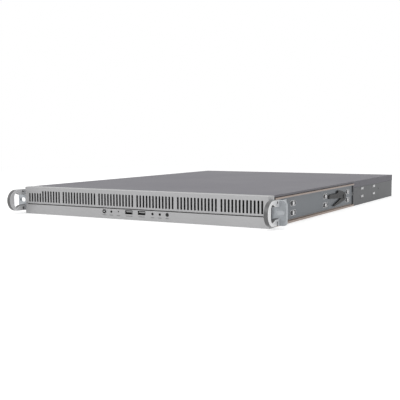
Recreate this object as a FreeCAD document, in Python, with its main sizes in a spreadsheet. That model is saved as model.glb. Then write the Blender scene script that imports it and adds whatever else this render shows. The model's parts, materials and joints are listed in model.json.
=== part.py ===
"""A 1U rack server: folded steel chassis, sliding top cover, aluminium front with a flip-down
grille door, rack ears with handles, slide rails, and the drives, fans, boards and supply inside.

The frame is in millimetres: +X to the right seen from the front, +Y to the rear, +Z up.  The
origin lies on the underside, at mid width, in the plane of the ears' rear faces, which is the
plane that meets the posts of the rack.
"""
import FreeCAD, Part
import math
import os
import re

import Sketcher

doc = FreeCAD.newDocument("rack_server")
sheet = doc.addObject("Spreadsheet::Sheet", "size")

SIZES = {
    # the front, which is as wide as the space between rack posts allows
    "bezel_wide": 438.7,
    "height": 43.6,
    "bezel_front": -12,
    "bezel_rear": 5,
    "plate": 2,
    "cheek": 2,
    "edge_bevel": 0.8,
    # chassis and cover
    "chassis_wide": 435.7,
    "chassis_front": 7,
    "chassis_rear": 591.1,
    "steel": 1.2,
    "recess_deep": 3.35,
    "recess_end": 344,
    "cover_lip_front": 3,
    "cover_lip_rear": 11.1,
    "cover_gap": 0.2,
    "cover_travel": 15,
    "cover_screw_y": 378,
    "cover_screw_z": "=height-5.3",
    "flange_deep": 9,
    # door and control strip
    "strip_top": 15.2,
    "door_plate": 1.2,
    "axis_behind": 2.7,
    "axis_above": 3.1,
    "pin_radius": 0.75,
    "pin_fit": 0.05,
    "arm_radius": 1.25,
    "arm_wide": 3,
    "arm_inset": 3.75,
    # ventilation slots of the door
    "slot_wide": 3.0,
    "slot_low": 19.4,
    "slot_high": 37.6,
    "badge_slot_high": 33.7,
    "slot_corner": 0.7,
    "slot_pitch": 5.67,
    "group_pitch": 71.26,
    "slots_each": 12,
    "groups": 6,
    "badge_slots": 5,
    # controls
    "control_z": 10.8,
    "power_x": -56.8,
    "power_radius": 3,
    "reset_x": -30.4,
    "reset_radius": 0.85,
    "ident_x": 57.3,
    "ident_radius": 2.4,
    "button_gap": 0.3,
    "button_travel": 1.2,
    "led_fit": 0.05,
    "led_power_x": -43.6,
    "led_power_radius": 1.65,
    "led_disk_x": 31.7,
    "led_net_x": 44.5,
    "led_radius": 1.8,
    "usb_x": 11.6,
    "usb_offset": 1.45,
    "usb_wide": 13.1,
    "usb_tall": 5.6,
    "usb_shell": 0.35,
    "usb_deep": 14,
    "usb_gap": 0.2,
    "usb_z": 11.3,
    "panel_board_z": 6.4,
    "board_thick": 1.6,
    # ears and handles
    "rack_wide": 482.6,
    "rack_spacing": 465,
    "rack_slot_z": 21.3,
    "rack_slot_long": 12,
    "rack_slot_tall": 7,
    "ear_thick": 4.6,
    "ear_low": 4.1,
    "ear_tall": 34.6,
    "ear_corner_high": 7,
    "ear_corner_low": 4.2,
    "ear_gap": 0.25,
    "ear_wall": 2.5,
    "ear_reach": 48,
    "handle_wide": 6.05,
    "handle_x": 225,
    "handle_z": 21.9,
    "handle_reach": 36.5,
    "handle_radius": 17.15,
    "handle_bore": 12.1,
    "handle_bar": 10,
    "handle_bend": 6,
    "foot_flare": 13.4,
    "foot_slope": 1.1,
    "foot_reach": 6.5,
    "port_wide": 2.4,
    # slide rails
    "rail_thick": 1.5,
    "rail_low": 0.3,
    "rail_tall": 39.5,
    "rail_out": 4.8,
    "rail_lip": 3.2,
    "rail_front": 9.6,
    "stud_low": 13.5,
    "stud_high": 27.4,
    "stud_radius": 2,
    "stud_head": 3.1,
    "key_long": 20,
    "key_tall": 6.8,
    "stud_first": 77.3,
    "stud_second": 209.4,
    "stud_third": 317.2,
    "hook_first": 393,
    "hook_second": 464.6,
    "hook_rise": 0.9,
    "lever_y": 290.5,
    "lever_z": 21.5,
    "lever_thick": 2.4,
    "lever_gap": 0.3,
    "rivet_radius": 2,
    # rear wall: supply, ports, expansion card, vents, thumbscrews and the screws of the lid
    "psu_wide": 100,
    "psu_side": 10.65,
    "psu_x": "=chassis_wide/2-steel-psu_side-psu_wide/2",
    "psu_tall": 41,
    "psu_z": 1.2,
    "psu_rim": 1.5,
    "psu_long": 190,
    "ports_x": -120,
    "ports_wide": 156,
    "ports_low": 4.5,
    "ports_high": 38,
    "card_x": "=psu_x-psu_wide/2-74",
    "card_wide": 108,
    "card_low": 20,
    "card_tall": 14,
    "vent_x": -16,
    "vent_low": 5,
    "vent_tall": 11,
    "vent_wide": 3,
    "vent_pitch": 5,
    "vents": 20,
    "thumb_x": 211.3,
    "thumb_z": "=height-10.6",
    "thumb_shank": 1.5,
    "thumb_radius": 4.5,
    "thumb_long": 6,
    "thumb_tab": 6,
    "rear_flange": 4.8,
    "guide_radius": 1.5,
    "guide_fit": 0.05,
    "guide_head": 2.1,
    "guide_head_deep": 0.8,
    "side_hole_y": 496,
    "side_hole_z": 21.4,
    "side_hole_radius": 1.8,
    # small parts of the front
    "strip_stand": 14,
    "arm_column": 4,
    "filter_wide": 423.4,
    "filter_low": 18.5,
    "filter_high": 39.5,
    "filter_thick": 2,
    "frame_thick": 0.6,
    "frame_bar": 4.5,
    "frame_lip": 5,
    "button_collar": 0.8,
    "switch_front": -5.4,
    "lamp_long": 6,
    "panel_board_wide": 132,
    "post_across": 4,
    "foot_bore": 7.6,
    "port_tall": 5,
    "handle_screw_z": 12.4,
    "handle_screw_head": 2.8,
    "handle_screw_deep": 1.6,
    "hex_head": 5.5,
    "hex_deep": 1.5,
    "lip_thick": 1.1,
    "rail_round": 0.9,
    "rail_dot_y": 339.5,
    "lever_back": 12,
    # fans
    "fan_size": 40,
    "fan_deep": 28,
    "fan_bore": 18.6,
    "fan_y": 190,
    "fan_z": 21.3,
    "fan_hub": 9.5,
    "blade_reach": 17,
    "blade_thick": 1.2,
    "blade_lean": 5,
    "blades": 5,
    "shaft_radius": 1.5,
    "fan_disc": 2,
    "bracket_thick": 1,
    # drives and their trays
    "drive_wide": 101.6,
    "drive_long": 147,
    "drive_tall": 26.1,
    "drive_y": 18,
    "drive_pitch": 105,
    "drive_base": 6.2,
    "tray_thick": 1,
    "tray_wall": 14,
    # main board and what it carries
    "main_x": -205,
    "board_side": 6,
    "main_wide": "=psu_x-psu_wide/2-board_side-main_x",
    "main_y": 240,
    "main_long": 330,
    "main_z": 7.2,
    "post_wide": 5,
    "socket_wide": 60,
    "socket_tall": 4.2,
    "sink_wide": 90,
    "sink_base": 4,
    "sink_tall": 25,
    "fin_thick": 1,
    "fins": 19,
    "sink_y": 330,
    "module_x": "=main_x+main_wide-62",
    "sink_right": "=module_x-58",
    "sink_left": "=sink_right-110",
    "module_long": 133.4,
    "module_tall": 30,
    "module_thick": 1.3,
    "module_y": 262,
    "module_pitch": 7.6,
    "modules": 8,
    "slot_tall": 5.4,
    "slot_body": 6.2,
    "hub_sink_x": -92,
    "hub_sink_y": 482,
    "hub_sink": 40,
    "hub_sink_tall": 12,
    "hub_fins": 9,
    # power supply
    "supply_wall": 1,
    "supply_fan_x": -25,
    "supply_fan_deep": 20,
    "inlet_x": 19,
    "inlet_wide": 27,
    "inlet_tall": 20,
    "inlet_room_wide": 24.4,
    "inlet_room_tall": 16.4,
    "inlet_deep": 18,
    "rocker_x": 41,
    "rocker_wide": 8,
    "rocker_tall": 17,
    "rocker_frame": 1.2,
    "rocker_pivot": 2.6,
    "rocker_out": 2.2,
    # ports and cards
    "port_plate": 0.6,
    "lan_wide": 15.9,
    "lan_tall": 13.4,
    "lan_deep": 21,
    "lan_room_wide": 11.8,
    "lan_room_tall": 8.2,
    "shell_wide": 30.8,
    "shell_tall": 12.4,
    "stack_wide": 14.6,
    "stack_tall": 15.6,
    "blank_thick": 0.9,
    "riser_thick": 1.6,
}


def fill_sheet():
    """Write every size into a cell of its own, under its plain name."""
    for row, (name, value) in enumerate(SIZES.items(), start=1):
        sheet.set("A%d" % row, name)
        sheet.set("B%d" % row, str(value))
        sheet.setAlias("B%d" % row, name)
    doc.recompute()


def tie(text):
    """Turn plain size names into references to the sheet's cells."""
    def named(match):
        word = match.group(0)
        return "size." + word if word in SIZES else word

    return re.sub(r"[a-z][a-z_]*", named, str(text))


def value(text):
    """The number that an expression gives now."""
    return float(sheet.evalExpression(tie(text)))


def bind(thing, name, text):
    """Let the sheet drive one property."""
    thing.setExpression(name, tie(text))


# ---------------------------------------------------------------- sketches and features

PLANES = {"X": "YZ_Plane", "Y": "XZ_Plane", "Z": "XY_Plane"}


def new_body(label):
    body = doc.addObject("PartDesign::Body", label)
    body.Label = label
    return body


def new_sketch(body, axis, start):
    """A sketch square to an axis, at the distance start along it."""
    sketch = body.newObject("Sketcher::SketchObject", body.Label + "_sketch")
    plane = [part for part in body.Origin.OriginFeatures if part.Role == PLANES[axis]][0]
    sketch.AttachmentSupport = [(plane, "")]
    sketch.MapMode = "FlatFace"
    sign = "-(%s)" if axis == "Y" else "(%s)"
    bind(sketch, "AttachmentOffset.Base.z", sign % start)
    return sketch


def bow(start, end, radius):
    """The middle point of the short arc from start to end; a negative radius bows to the left."""
    mid_u = (start[0] + end[0]) / 2
    mid_v = (start[1] + end[1]) / 2
    run = math.hypot(end[0] - start[0], end[1] - start[1])
    rise = abs(radius) - math.sqrt(max(radius * radius - run * run / 4, 0))
    side = math.copysign(rise / run, radius)
    return mid_u + side * (end[1] - start[1]), mid_v - side * (end[0] - start[0])


def outline(sketch, path):
    """Draw a closed loop: corners (u, v), or (u, v, radius) where an arc runs to the next corner."""
    spots = [(value(corner[0]), value(corner[1])) for corner in path]
    first = sketch.GeometryCount
    for number, corner in enumerate(path):
        start = FreeCAD.Vector(*spots[number], 0)
        end = FreeCAD.Vector(*spots[(number + 1) % len(path)], 0)
        if len(corner) == 2:
            sketch.addGeometry(Part.LineSegment(start, end), False)
        else:
            middle = FreeCAD.Vector(*bow(start, end, value(corner[2])), 0)
            sketch.addGeometry(Part.Arc(start, middle, end), False)
    for number, corner in enumerate(path):
        edge = first + number
        after = first + (number + 1) % len(path)
        # an arc drawn clockwise is stored the other way round, so its ends swap
        ends = [2 if is_swapped(sketch, edge, spots[number]) else 1, 0]
        ends[1] = 3 - ends[0]
        next_start = 2 if is_swapped(sketch, after, spots[(number + 1) % len(path)]) else 1
        sketch.addConstraint(Sketcher.Constraint("Coincident", edge, ends[1], after, next_start))
        for kind, text, place in (("DistanceX", corner[0], 0), ("DistanceY", corner[1], 1)):
            at = sketch.addConstraint(Sketcher.Constraint(kind, -1, 1, edge, ends[0], spots[number][place]))
            bind(sketch, "Constraints[%d]" % at, text)
        if len(corner) == 3:
            size = abs(value(corner[2]))
            at = sketch.addConstraint(Sketcher.Constraint("Radius", edge, size))
            bind(sketch, "Constraints[%d]" % at, "abs(%s)" % corner[2])


def is_swapped(sketch, edge, spot):
    """True where the edge's stored start isn't the corner it was drawn from."""
    start = sketch.getPoint(edge, 1)
    return math.hypot(start.x - spot[0], start.y - spot[1]) > 1e-6


def ring(sketch, u, v, radius):
    """Draw a circle."""
    centre = FreeCAD.Vector(value(u), value(v), 0)
    edge = sketch.addGeometry(Part.Circle(centre, FreeCAD.Vector(0, 0, 1), value(radius)), False)
    for kind, text in (("DistanceX", u), ("DistanceY", v)):
        at = sketch.addConstraint(Sketcher.Constraint(kind, -1, 1, edge, 3, value(text)))
        bind(sketch, "Constraints[%d]" % at, text)
    at = sketch.addConstraint(Sketcher.Constraint("Radius", edge, value(radius)))
    bind(sketch, "Constraints[%d]" % at, radius)


def draw(sketch, shapes):
    """A shape is a list of corners, or a tuple (u, v, radius) for a circle."""
    for shape in shapes:
        if isinstance(shape, tuple):
            ring(sketch, *shape)
        else:
            outline(sketch, shape)


def add(body, axis, start, length, *shapes):
    """Pad the shapes from start along +axis."""
    sketch = new_sketch(body, axis, start)
    draw(sketch, shapes)
    pad = body.newObject("PartDesign::Pad", body.Label + "_pad")
    pad.Profile = sketch
    pad.Reversed = axis == "Y"
    bind(pad, "Length", length)
    return pad


def cut(body, axis, start, length, *shapes):
    """Pocket the shapes from start along +axis."""
    sketch = new_sketch(body, axis, start)
    draw(sketch, shapes)
    pocket = body.newObject("PartDesign::Pocket", body.Label + "_pocket")
    pocket.Profile = sketch
    pocket.Reversed = axis != "Y"
    bind(pocket, "Length", length)
    return pocket


def box_path(u0, v0, u1, v1):
    """The four corners of a rectangle."""
    return [(u0, v0), (u1, v0), (u1, v1), (u0, v1)]


def around(u, v, wide, tall):
    """A rectangle about its centre."""
    return box_path("%s-(%s)/2" % (u, wide), "%s-(%s)/2" % (v, tall),
                    "%s+(%s)/2" % (u, wide), "%s+(%s)/2" % (v, tall))


def long_hole(u, v, long, tall):
    """A hole with round ends, long along u."""
    flat = "(%s-%s)/2" % (long, tall)
    end = "(%s)/2" % tall
    far = "(%s)/2" % long
    return [("%s-%s" % (u, flat), "%s-%s" % (v, end)),
            ("%s+%s" % (u, flat), "%s-%s" % (v, end), end),
            ("%s+%s" % (u, far), v, end),
            ("%s+%s" % (u, flat), "%s+%s" % (v, end)),
            ("%s-%s" % (u, flat), "%s+%s" % (v, end), end),
            ("%s-%s" % (u, far), v, end)]


def tall_hole(u, low, high, wide):
    """A hole with round ends, long along v."""
    end = "(%s)/2" % wide
    return [("%s-%s" % (u, end), "%s+%s" % (low, end), end),
            (u, low, end),
            ("%s+%s" % (u, end), "%s+%s" % (low, end)),
            ("%s+%s" % (u, end), "%s-%s" % (high, end), end),
            (u, high, end),
            ("%s-%s" % (u, end), "%s-%s" % (high, end))]


def bevelled(u, low, high, wide, bevel):
    """A tall slot whose corners are cut off."""
    half = "(%s)/2" % wide
    return [("%s-%s" % (u, half), "%s+%s" % (low, bevel)), ("%s-%s+%s" % (u, half, bevel), low),
            ("%s+%s-%s" % (u, half, bevel), low), ("%s+%s" % (u, half), "%s+%s" % (low, bevel)),
            ("%s+%s" % (u, half), "%s-%s" % (high, bevel)), ("%s+%s-%s" % (u, half, bevel), high),
            ("%s-%s+%s" % (u, half, bevel), high), ("%s-%s" % (u, half), "%s-%s" % (high, bevel))]


def role(body, name):
    return [part for part in body.Origin.OriginFeatures if part.Role == name][0]


def both_sides(body, *features):
    """Mirror features of the right side to the left side."""
    mirror = body.newObject("PartDesign::Mirrored", body.Label + "_mirror")
    mirror.Originals = list(features)
    mirror.MirrorPlane = (role(body, "YZ_Plane"), [""])
    body.Tip = mirror
    return mirror


def at_both_ends(make, body, start, length, *shapes):
    """Pad or pocket along X at the right end, and again at the left end."""
    make(body, "X", start, length, *shapes)
    make(body, "X", "-(%s)-(%s)" % (start, length), length, *shapes)


def row_of(body, feature, steps):
    """Repeat a feature along +X: steps is a list of (pitch, count) pairs."""
    many = body.newObject("PartDesign::MultiTransform", body.Label + "_rows")
    many.Originals = [feature]
    rows = []
    for pitch, count in steps:
        line = body.newObject("PartDesign::LinearPattern", body.Label + "_row")
        line.Direction = (role(body, "X_Axis"), [""])
        bind(line, "Length", "(%s)*(%s-1)" % (pitch, count))
        bind(line, "Occurrences", count)
        rows.append(line)
    many.Transformations = rows
    body.Tip = many
    return many


def soften(body, radius, wanted, kind="Fillet"):
    """Round or bevel the edges of the body's shape so far that the test picks."""
    doc.recompute()
    base = body.Tip
    names = []
    for number, edge in enumerate(base.Shape.Edges, start=1):
        if wanted(edge):
            names.append("Edge%d" % number)
    feature = body.newObject("PartDesign::" + kind, body.Label + "_edges")
    feature.Base = (base, names)
    bind(feature, "Radius" if kind == "Fillet" else "Size", radius)
    return feature


def upright(edge):
    """True for a straight edge along Z."""
    box = edge.BoundBox
    return box.XLength < 1e-6 and box.YLength < 1e-6


def mirror_copy(source, label):
    """The left-hand twin of a right-hand piece."""
    twin = doc.addObject("Part::Mirroring", label)
    twin.Source = source
    twin.Normal = FreeCAD.Vector(1, 0, 0)
    twin.Label = label
    return twin


# ---------------------------------------------------------------- primitives


def block(name, low, high):
    """A box from its low corner to its high corner."""
    box = doc.addObject("Part::Box", name)
    for axis, side, start, end in zip("xyz", ("Length", "Width", "Height"), low, high):
        bind(box, "Placement.Base." + axis, start)
        bind(box, side, "(%s)-(%s)" % (end, start))
    return box


TURNS = {"X": FreeCAD.Rotation(FreeCAD.Vector(0, 1, 0), 90),
         "Y": FreeCAD.Rotation(FreeCAD.Vector(1, 0, 0), -90),
         "Z": FreeCAD.Rotation()}


def rod(name, axis, start, radius, length):
    """A cylinder from start along +axis."""
    bar = doc.addObject("Part::Cylinder", name)
    bar.Placement = FreeCAD.Placement(FreeCAD.Vector(), TURNS[axis])
    for letter, text in zip("xyz", start):
        bind(bar, "Placement.Base." + letter, text)
    bind(bar, "Radius", radius)
    bind(bar, "Height", length)
    return bar


def hexagon(name, axis, start, across, length):
    """A six-sided bar from start along +axis, measured across its flats."""
    bar = doc.addObject("Part::Prism", name)
    bar.Polygon = 6
    bar.Placement = FreeCAD.Placement(FreeCAD.Vector(), TURNS[axis])
    for letter, text in zip("xyz", start):
        bind(bar, "Placement.Base." + letter, text)
    bind(bar, "Circumradius", "(%s)/sqrt(3)" % across)
    bind(bar, "Height", length)
    return bar


def group(label, pieces):
    """Separate solids that share one node."""
    whole = doc.addObject("Part::Compound", label)
    whole.Links = list(pieces)
    whole.Label = label
    return whole


def placed(label, source, x, y, z):
    """A copy of a piece that was made at the origin, moved to its place."""
    copy = doc.addObject("Part::Compound", label)
    copy.Links = [source]
    copy.Label = label
    for letter, text in zip("xyz", (x, y, z)):
        bind(copy, "Placement.Base." + letter, text)
    return copy


def merge(label, pieces):
    whole = doc.addObject("Part::MultiFuse", label)
    whole.Shapes = list(pieces)
    whole.Label = label
    return whole


def carve(label, base, tools):
    """Take the tools away from the base."""
    tool = tools[0] if len(tools) == 1 else merge(label + "_tools", tools)
    whole = doc.addObject("Part::Cut", label)
    whole.Base = base
    whole.Tool = tool
    whole.Label = label
    return whole


fill_sheet()

# ---------------------------------------------------------------- chassis and cover

HALF = "chassis_wide/2"
WEB = "chassis_wide/2-recess_deep"
COVER_LOW = "height-steel"
CHASSIS_TOP = "height-steel-cover_gap"
BEZEL_HALF = "bezel_wide/2"
RAIL_FACE = "chassis_wide/2-recess_deep+rail_thick"


def make_chassis():
    """One folded tray: floor, side walls that step in for the slide rails, front and rear walls."""
    body = new_body("chassis_base")
    floor = [("-(%s)" % WEB, "chassis_front"), (WEB, "chassis_front"), (WEB, "recess_end"),
             (HALF, "recess_end"), (HALF, "chassis_rear"), ("-(%s)" % HALF, "chassis_rear"),
             ("-(%s)" % HALF, "recess_end"), ("-(%s)" % WEB, "recess_end")]
    add(body, "Z", "0", "steel", floor)
    inner = "%s-steel" % WEB
    front_wall = [(WEB, "0"), (WEB, CHASSIS_TOP), ("%s-flange_deep" % WEB, CHASSIS_TOP),
                  ("%s-flange_deep" % WEB, CHASSIS_TOP + "-steel"), (inner, CHASSIS_TOP + "-steel"),
                  (inner, "0")]
    front = add(body, "Y", "chassis_front", "recess_end-chassis_front", front_wall)
    jog = "%s-steel-cover_gap" % HALF
    lip = "height-cover_lip_rear-cover_gap"
    rear_wall = [(HALF, "0"), (HALF, lip), (jog, lip), (jog, CHASSIS_TOP),
                 ("%s-flange_deep" % jog, CHASSIS_TOP), ("%s-flange_deep" % jog, CHASSIS_TOP + "-steel"),
                 (jog + "-steel", CHASSIS_TOP + "-steel"), (jog + "-steel", lip + "-steel"),
                 (HALF + "-steel", lip + "-steel"), (HALF + "-steel", "0")]
    rear = add(body, "Y", "recess_end", "chassis_rear-recess_end", rear_wall)
    step_wall = [(inner, "0"), (HALF, "0"), (HALF, lip), (jog, lip), (jog, CHASSIS_TOP),
                 (inner, CHASSIS_TOP)]
    step = add(body, "Y", "recess_end", "steel", step_wall)
    both_sides(body, front, rear, step)
    add(body, "Y", "chassis_front", "steel", box_path("-(%s)" % WEB, "0", WEB, CHASSIS_TOP))
    add(body, "Y", "chassis_rear-steel", "steel", box_path("-(%s)" % jog, "0", jog, CHASSIS_TOP))
    cut_front_windows(body)
    cut_rear_wall(body)
    cut_side_holes(body)
    return body


def cut_front_windows(body):
    """Air inlets behind the door, one for each group of its slots."""
    first = "-2.5*group_pitch"
    window = cut(body, "Y", "chassis_front-1", "steel+2",
                 around(first, "(slot_low+slot_high)/2", "slot_pitch*slots_each-slot_wide*2",
                        "slot_high-slot_low"))
    row_of(body, window, [("group_pitch", "groups")])


def cut_rear_wall(body):
    """Openings for the supply, the ports and one expansion card, and two fields of vents."""
    depth = ("Y", "chassis_rear-steel-1", "steel+2")
    cut(body, *depth, box_path("psu_x-psu_wide/2+psu_rim", "psu_z+psu_rim",
                               "psu_x+psu_wide/2-psu_rim", "psu_z+psu_tall-psu_rim"))
    cut(body, *depth, box_path("ports_x-ports_wide/2", "ports_low", "ports_x+ports_wide/2", "ports_high"))
    cut(body, *depth,
        box_path("card_x-card_wide/2", "card_low", "card_x+card_wide/2", "card_low+card_tall"))
    vent = cut(body, *depth,
               bevelled("vent_x", "vent_low", "vent_low+vent_tall", "vent_wide", "slot_corner"))
    row_of(body, vent, [("vent_pitch", "vents")])
    for side in ("-thumb_x", "thumb_x"):
        cut(body, *depth, (side, "thumb_z", "thumb_shank+0.1"))


def cut_side_holes(body):
    """Guide slots for the cover's side screws, and the small drain hole of each side."""
    slot = cut(body, "X", "%s-steel-3" % HALF, "4",
               long_hole("cover_screw_y+cover_travel/2", "cover_screw_z", "cover_travel+guide_radius*2+0.8",
                         "guide_radius*2+0.8"))
    hole = cut(body, "X", "%s-steel-1" % HALF, "steel+2",
               ("side_hole_y", "side_hole_z", "side_hole_radius"))
    both_sides(body, slot, hole)


def make_cover():
    """The lid: a flat top, short lips above the rails, deeper lips behind them, a rear flange."""
    body = new_body("top_cover")
    add(body, "Z", COVER_LOW, "steel",
        box_path("-(%s)" % HALF, "chassis_front", HALF, "chassis_rear+steel+cover_gap"))
    inner = HALF + "-steel"
    front = add(body, "Y", "chassis_front", "recess_end-chassis_front",
                box_path(inner, "height-cover_lip_front", HALF, "height"))
    rear = add(body, "Y", "recess_end", "chassis_rear-recess_end+steel+cover_gap",
               box_path(inner, "height-cover_lip_rear", HALF, "height"))
    countersink = cut(body, "X", inner + "-1", "steel+2",
                      ("cover_screw_y", "cover_screw_z", "guide_radius+guide_fit"))
    head = cut(body, "X", HALF + "-guide_head_deep", "2",
               ("cover_screw_y", "cover_screw_z", "guide_head+guide_fit"))
    both_sides(body, front, rear, countersink, head)
    add(body, "Y", "chassis_rear+cover_gap", "steel",
        box_path("-(%s)" % HALF, "height-rear_flange", HALF, "height"))
    for side in ("-thumb_x", "thumb_x"):
        add(body, "Y", "chassis_rear+cover_gap", "steel",
            box_path(side + "-thumb_tab", "thumb_z-thumb_tab", side + "+thumb_tab", "height-steel/2"))
    for side in ("-thumb_x", "thumb_x"):
        cut(body, "Y", "chassis_rear", "steel+2", (side, "thumb_z", "thumb_shank+0.05"))
    return body


def make_cover_screws():
    """Guide screws in the side lips, which run in the chassis slots, and rear thumbscrews."""
    sides = []
    for number, sign in enumerate(("", "-")):
        axis_point = ("%s(%s-guide_head_deep)" % (sign, HALF), "cover_screw_y", "cover_screw_z")
        tip = "%s-steel*2-cover_gap-1" % HALF
        shank_start = tip if sign == "" else "-(%s-guide_head_deep)" % HALF
        head_start = "%s-guide_head_deep" % HALF if sign == "" else "-(%s)" % HALF
        shank = rod("guide_shank%d" % number, "X", (shank_start,) + axis_point[1:], "guide_radius",
                    "%s-guide_head_deep-(%s)" % (HALF, tip))
        head = rod("guide_head%d" % number, "X", (head_start,) + axis_point[1:],
                   "guide_head", "guide_head_deep")
        sides.append(merge("guide_screw%d" % number, [shank, head]))
    group("cover_guide_screws", sides)
    rears = []
    for number, side in enumerate(("-thumb_x", "thumb_x")):
        behind = "chassis_rear+cover_gap+steel"
        shank = rod("thumb_shank%d" % number, "Y", (side, "chassis_rear-steel-3", "thumb_z"), "thumb_shank",
                    "steel*2+cover_gap+3")
        knob = rod("thumb_knob%d" % number, "Y", (side, behind, "thumb_z"), "thumb_radius", "thumb_long")
        slot = block("thumb_slot%d" % number,
                     (side + "-thumb_radius-1", behind + "+thumb_long-1.2", "thumb_z-0.5"),
                     (side + "+thumb_radius+1", behind + "+thumb_long+1", "thumb_z+0.5"))
        blank = merge("thumb_blank%d" % number, [shank, knob])
        rears.append(carve("thumb_screw%d" % number, blank, [slot]))
    group("cover_thumbscrews", rears)

# ---------------------------------------------------------------- the front

AXIS_Y = "bezel_front+axis_behind"
AXIS_Z = "strip_top+axis_above"
ARM_LOW = "strip_top+axis_above-arm_radius"
ARM_HIGH = "strip_top+axis_above+arm_radius"
ARM_IN = "bezel_wide/2-arm_inset-arm_wide"


def make_control_strip():
    """The lower front: plate, floor, rear upstand, end cheeks and the two arms of the door's hinge."""
    body = new_body("control_strip")
    add(body, "X", "-(%s)" % BEZEL_HALF, "bezel_wide",
        [("bezel_front", "0"), ("bezel_front+plate", "0"), ("bezel_front+plate", "strip_top"),
         ("bezel_front", "strip_top")])
    soften(body, "edge_bevel", lambda edge: upright(edge) and edge.BoundBox.YMax < value("bezel_front+0.1"),
           "Chamfer")
    add(body, "X", "-(%s)" % WEB, "2*(%s)" % WEB,
        [("bezel_front+plate/2", "0"), ("chassis_front", "0"), ("chassis_front", "strip_stand"),
         ("chassis_front-steel", "strip_stand"), ("chassis_front-steel", "steel"),
         ("bezel_front+plate/2", "steel")])
    cheek = add(body, "Y", "bezel_front+plate/2", "bezel_rear-bezel_front-plate/2",
                box_path(BEZEL_HALF + "-cheek", "0", BEZEL_HALF, "strip_top-0.3"))
    shelf = add(body, "Z", "0", "steel",
                box_path(WEB + "-1", "bezel_front+plate/2", BEZEL_HALF, "bezel_rear"))
    arm = add(body, "X", ARM_IN, "arm_wide",
              [(AXIS_Y, ARM_HIGH, "arm_radius"), (AXIS_Y + "-arm_radius", AXIS_Z, "arm_radius"),
               (AXIS_Y, ARM_LOW), ("chassis_front-steel-arm_column", ARM_LOW),
               ("chassis_front-steel-arm_column", "steel/2"), ("chassis_front-steel/2", "steel/2"),
               ("chassis_front-steel/2", "strip_stand"), ("chassis_front-0.3", "strip_stand"),
               ("chassis_front-0.3", ARM_HIGH)])
    bore = cut(body, "X", ARM_IN + "-1", "arm_wide+2", (AXIS_Y, AXIS_Z, "pin_radius+pin_fit"))
    both_sides(body, cheek, shelf, arm, bore)
    cut_controls(body)
    return body


def cut_controls(body):
    """Holes for buttons and lamps, and the two data sockets."""
    holes = [("power_x", "control_z", "power_radius+button_gap"),
             ("reset_x", "control_z+0.6", "reset_radius+button_gap"),
             ("ident_x", "control_z", "ident_radius+button_gap"),
             ("led_power_x", "control_z", "led_power_radius+led_fit"),
             ("led_disk_x", "control_z", "led_radius+led_fit"),
             ("led_net_x", "control_z", "led_radius+led_fit")]
    cut(body, "Y", "bezel_front-1", "plate+2", *holes)
    sockets = [around("usb_offset/2%susb_x-0.1" % sign, "usb_z", "usb_wide+2*usb_gap", "usb_tall+2*usb_gap")
               for sign in "+-"]
    cut(body, "Y", "bezel_front-1", "plate+2", *sockets)


def make_door():
    """The slotted upper front, which tips forward about its lower edge."""
    body = new_body("grille_door")
    face = "bezel_front"
    back = "bezel_front+door_plate"
    lip_low = "strip_top+axis_above-sqrt(axis_behind^2-(axis_behind-door_plate)^2)"
    add(body, "X", "-(%s)" % BEZEL_HALF, "bezel_wide",
        [(face, "height"), (face, AXIS_Z, "axis_behind"), (back, lip_low), (back, "height-door_plate"),
         ("bezel_rear", "height-door_plate"), ("bezel_rear", "height")])
    soften(body, "edge_bevel", lambda edge: upright(edge) and edge.BoundBox.YMax < value("bezel_front+0.1"),
           "Chamfer")
    middle = "bezel_front+door_plate/2"
    at_both_ends(add, body, BEZEL_HALF + "-cheek", "cheek-0.01",
                 [(middle, "height-door_plate/2"), (middle, AXIS_Z), (back, AXIS_Z + "-axis_behind*0.8"),
                  ("bezel_rear", AXIS_Z + "-axis_behind*0.8"), ("bezel_rear-0.01", "height-door_plate/2")])
    at_both_ends(cut, body, BEZEL_HALF + "-cheek-1", "cheek+0.4", (AXIS_Y, AXIS_Z, "pin_radius+pin_fit"))
    cut_slots(body)
    return body


def cut_slots(body):
    """Six groups of tall slots; the first few at the left are shorter, below a bare patch."""
    first = "-2.5*group_pitch-(slots_each-1)/2*slot_pitch"
    depth = ("Y", "bezel_front-1", "door_plate+2")
    full = cut(body, *depth,
               bevelled(first + "+group_pitch", "slot_low", "slot_high", "slot_wide", "slot_corner"))
    row_of(body, full, [("slot_pitch", "slots_each"), ("group_pitch", "groups-1")])
    later = first + "+badge_slots*slot_pitch"
    rest = cut(body, *depth, bevelled(later, "slot_low", "slot_high", "slot_wide", "slot_corner"))
    row_of(body, rest, [("slot_pitch", "slots_each-badge_slots")])
    short = cut(body, *depth, bevelled(first, "slot_low", "badge_slot_high", "slot_wide", "slot_corner"))
    row_of(body, short, [("slot_pitch", "badge_slots")])


def make_door_filter():
    """The foam mat behind the slots and the steel frame that holds it to the door."""
    back = "bezel_front+door_plate"
    half = "filter_wide/2"
    mat = block("door_filter", ("-filter_wide/2", back, "filter_low"),
                (half, back + "+filter_thick", "filter_high"))
    mat.Label = "door_filter"
    frame = new_body("filter_frame")
    add(frame, "Y", back + "+filter_thick", "frame_thick",
        box_path("-filter_wide/2", "filter_low", half, "filter_high"))
    window = cut(frame, "Y", back + "+filter_thick-1", "frame_thick+2",
                 around("-2.5*group_pitch", "(filter_low+filter_high)/2", "group_pitch-frame_bar*2",
                        "filter_high-filter_low-frame_bar*2"))
    row_of(frame, window, [("group_pitch", "groups")])
    add(frame, "Z", "filter_high-frame_thick", "frame_thick",
        box_path("-filter_wide/2", back + "+filter_thick", half, back + "+filter_thick+frame_lip"))
    add(frame, "Y", back + "+filter_thick+frame_lip-frame_thick", "frame_thick",
        box_path("-filter_wide/2", "filter_high-frame_thick", half, "height-door_plate"))


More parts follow.
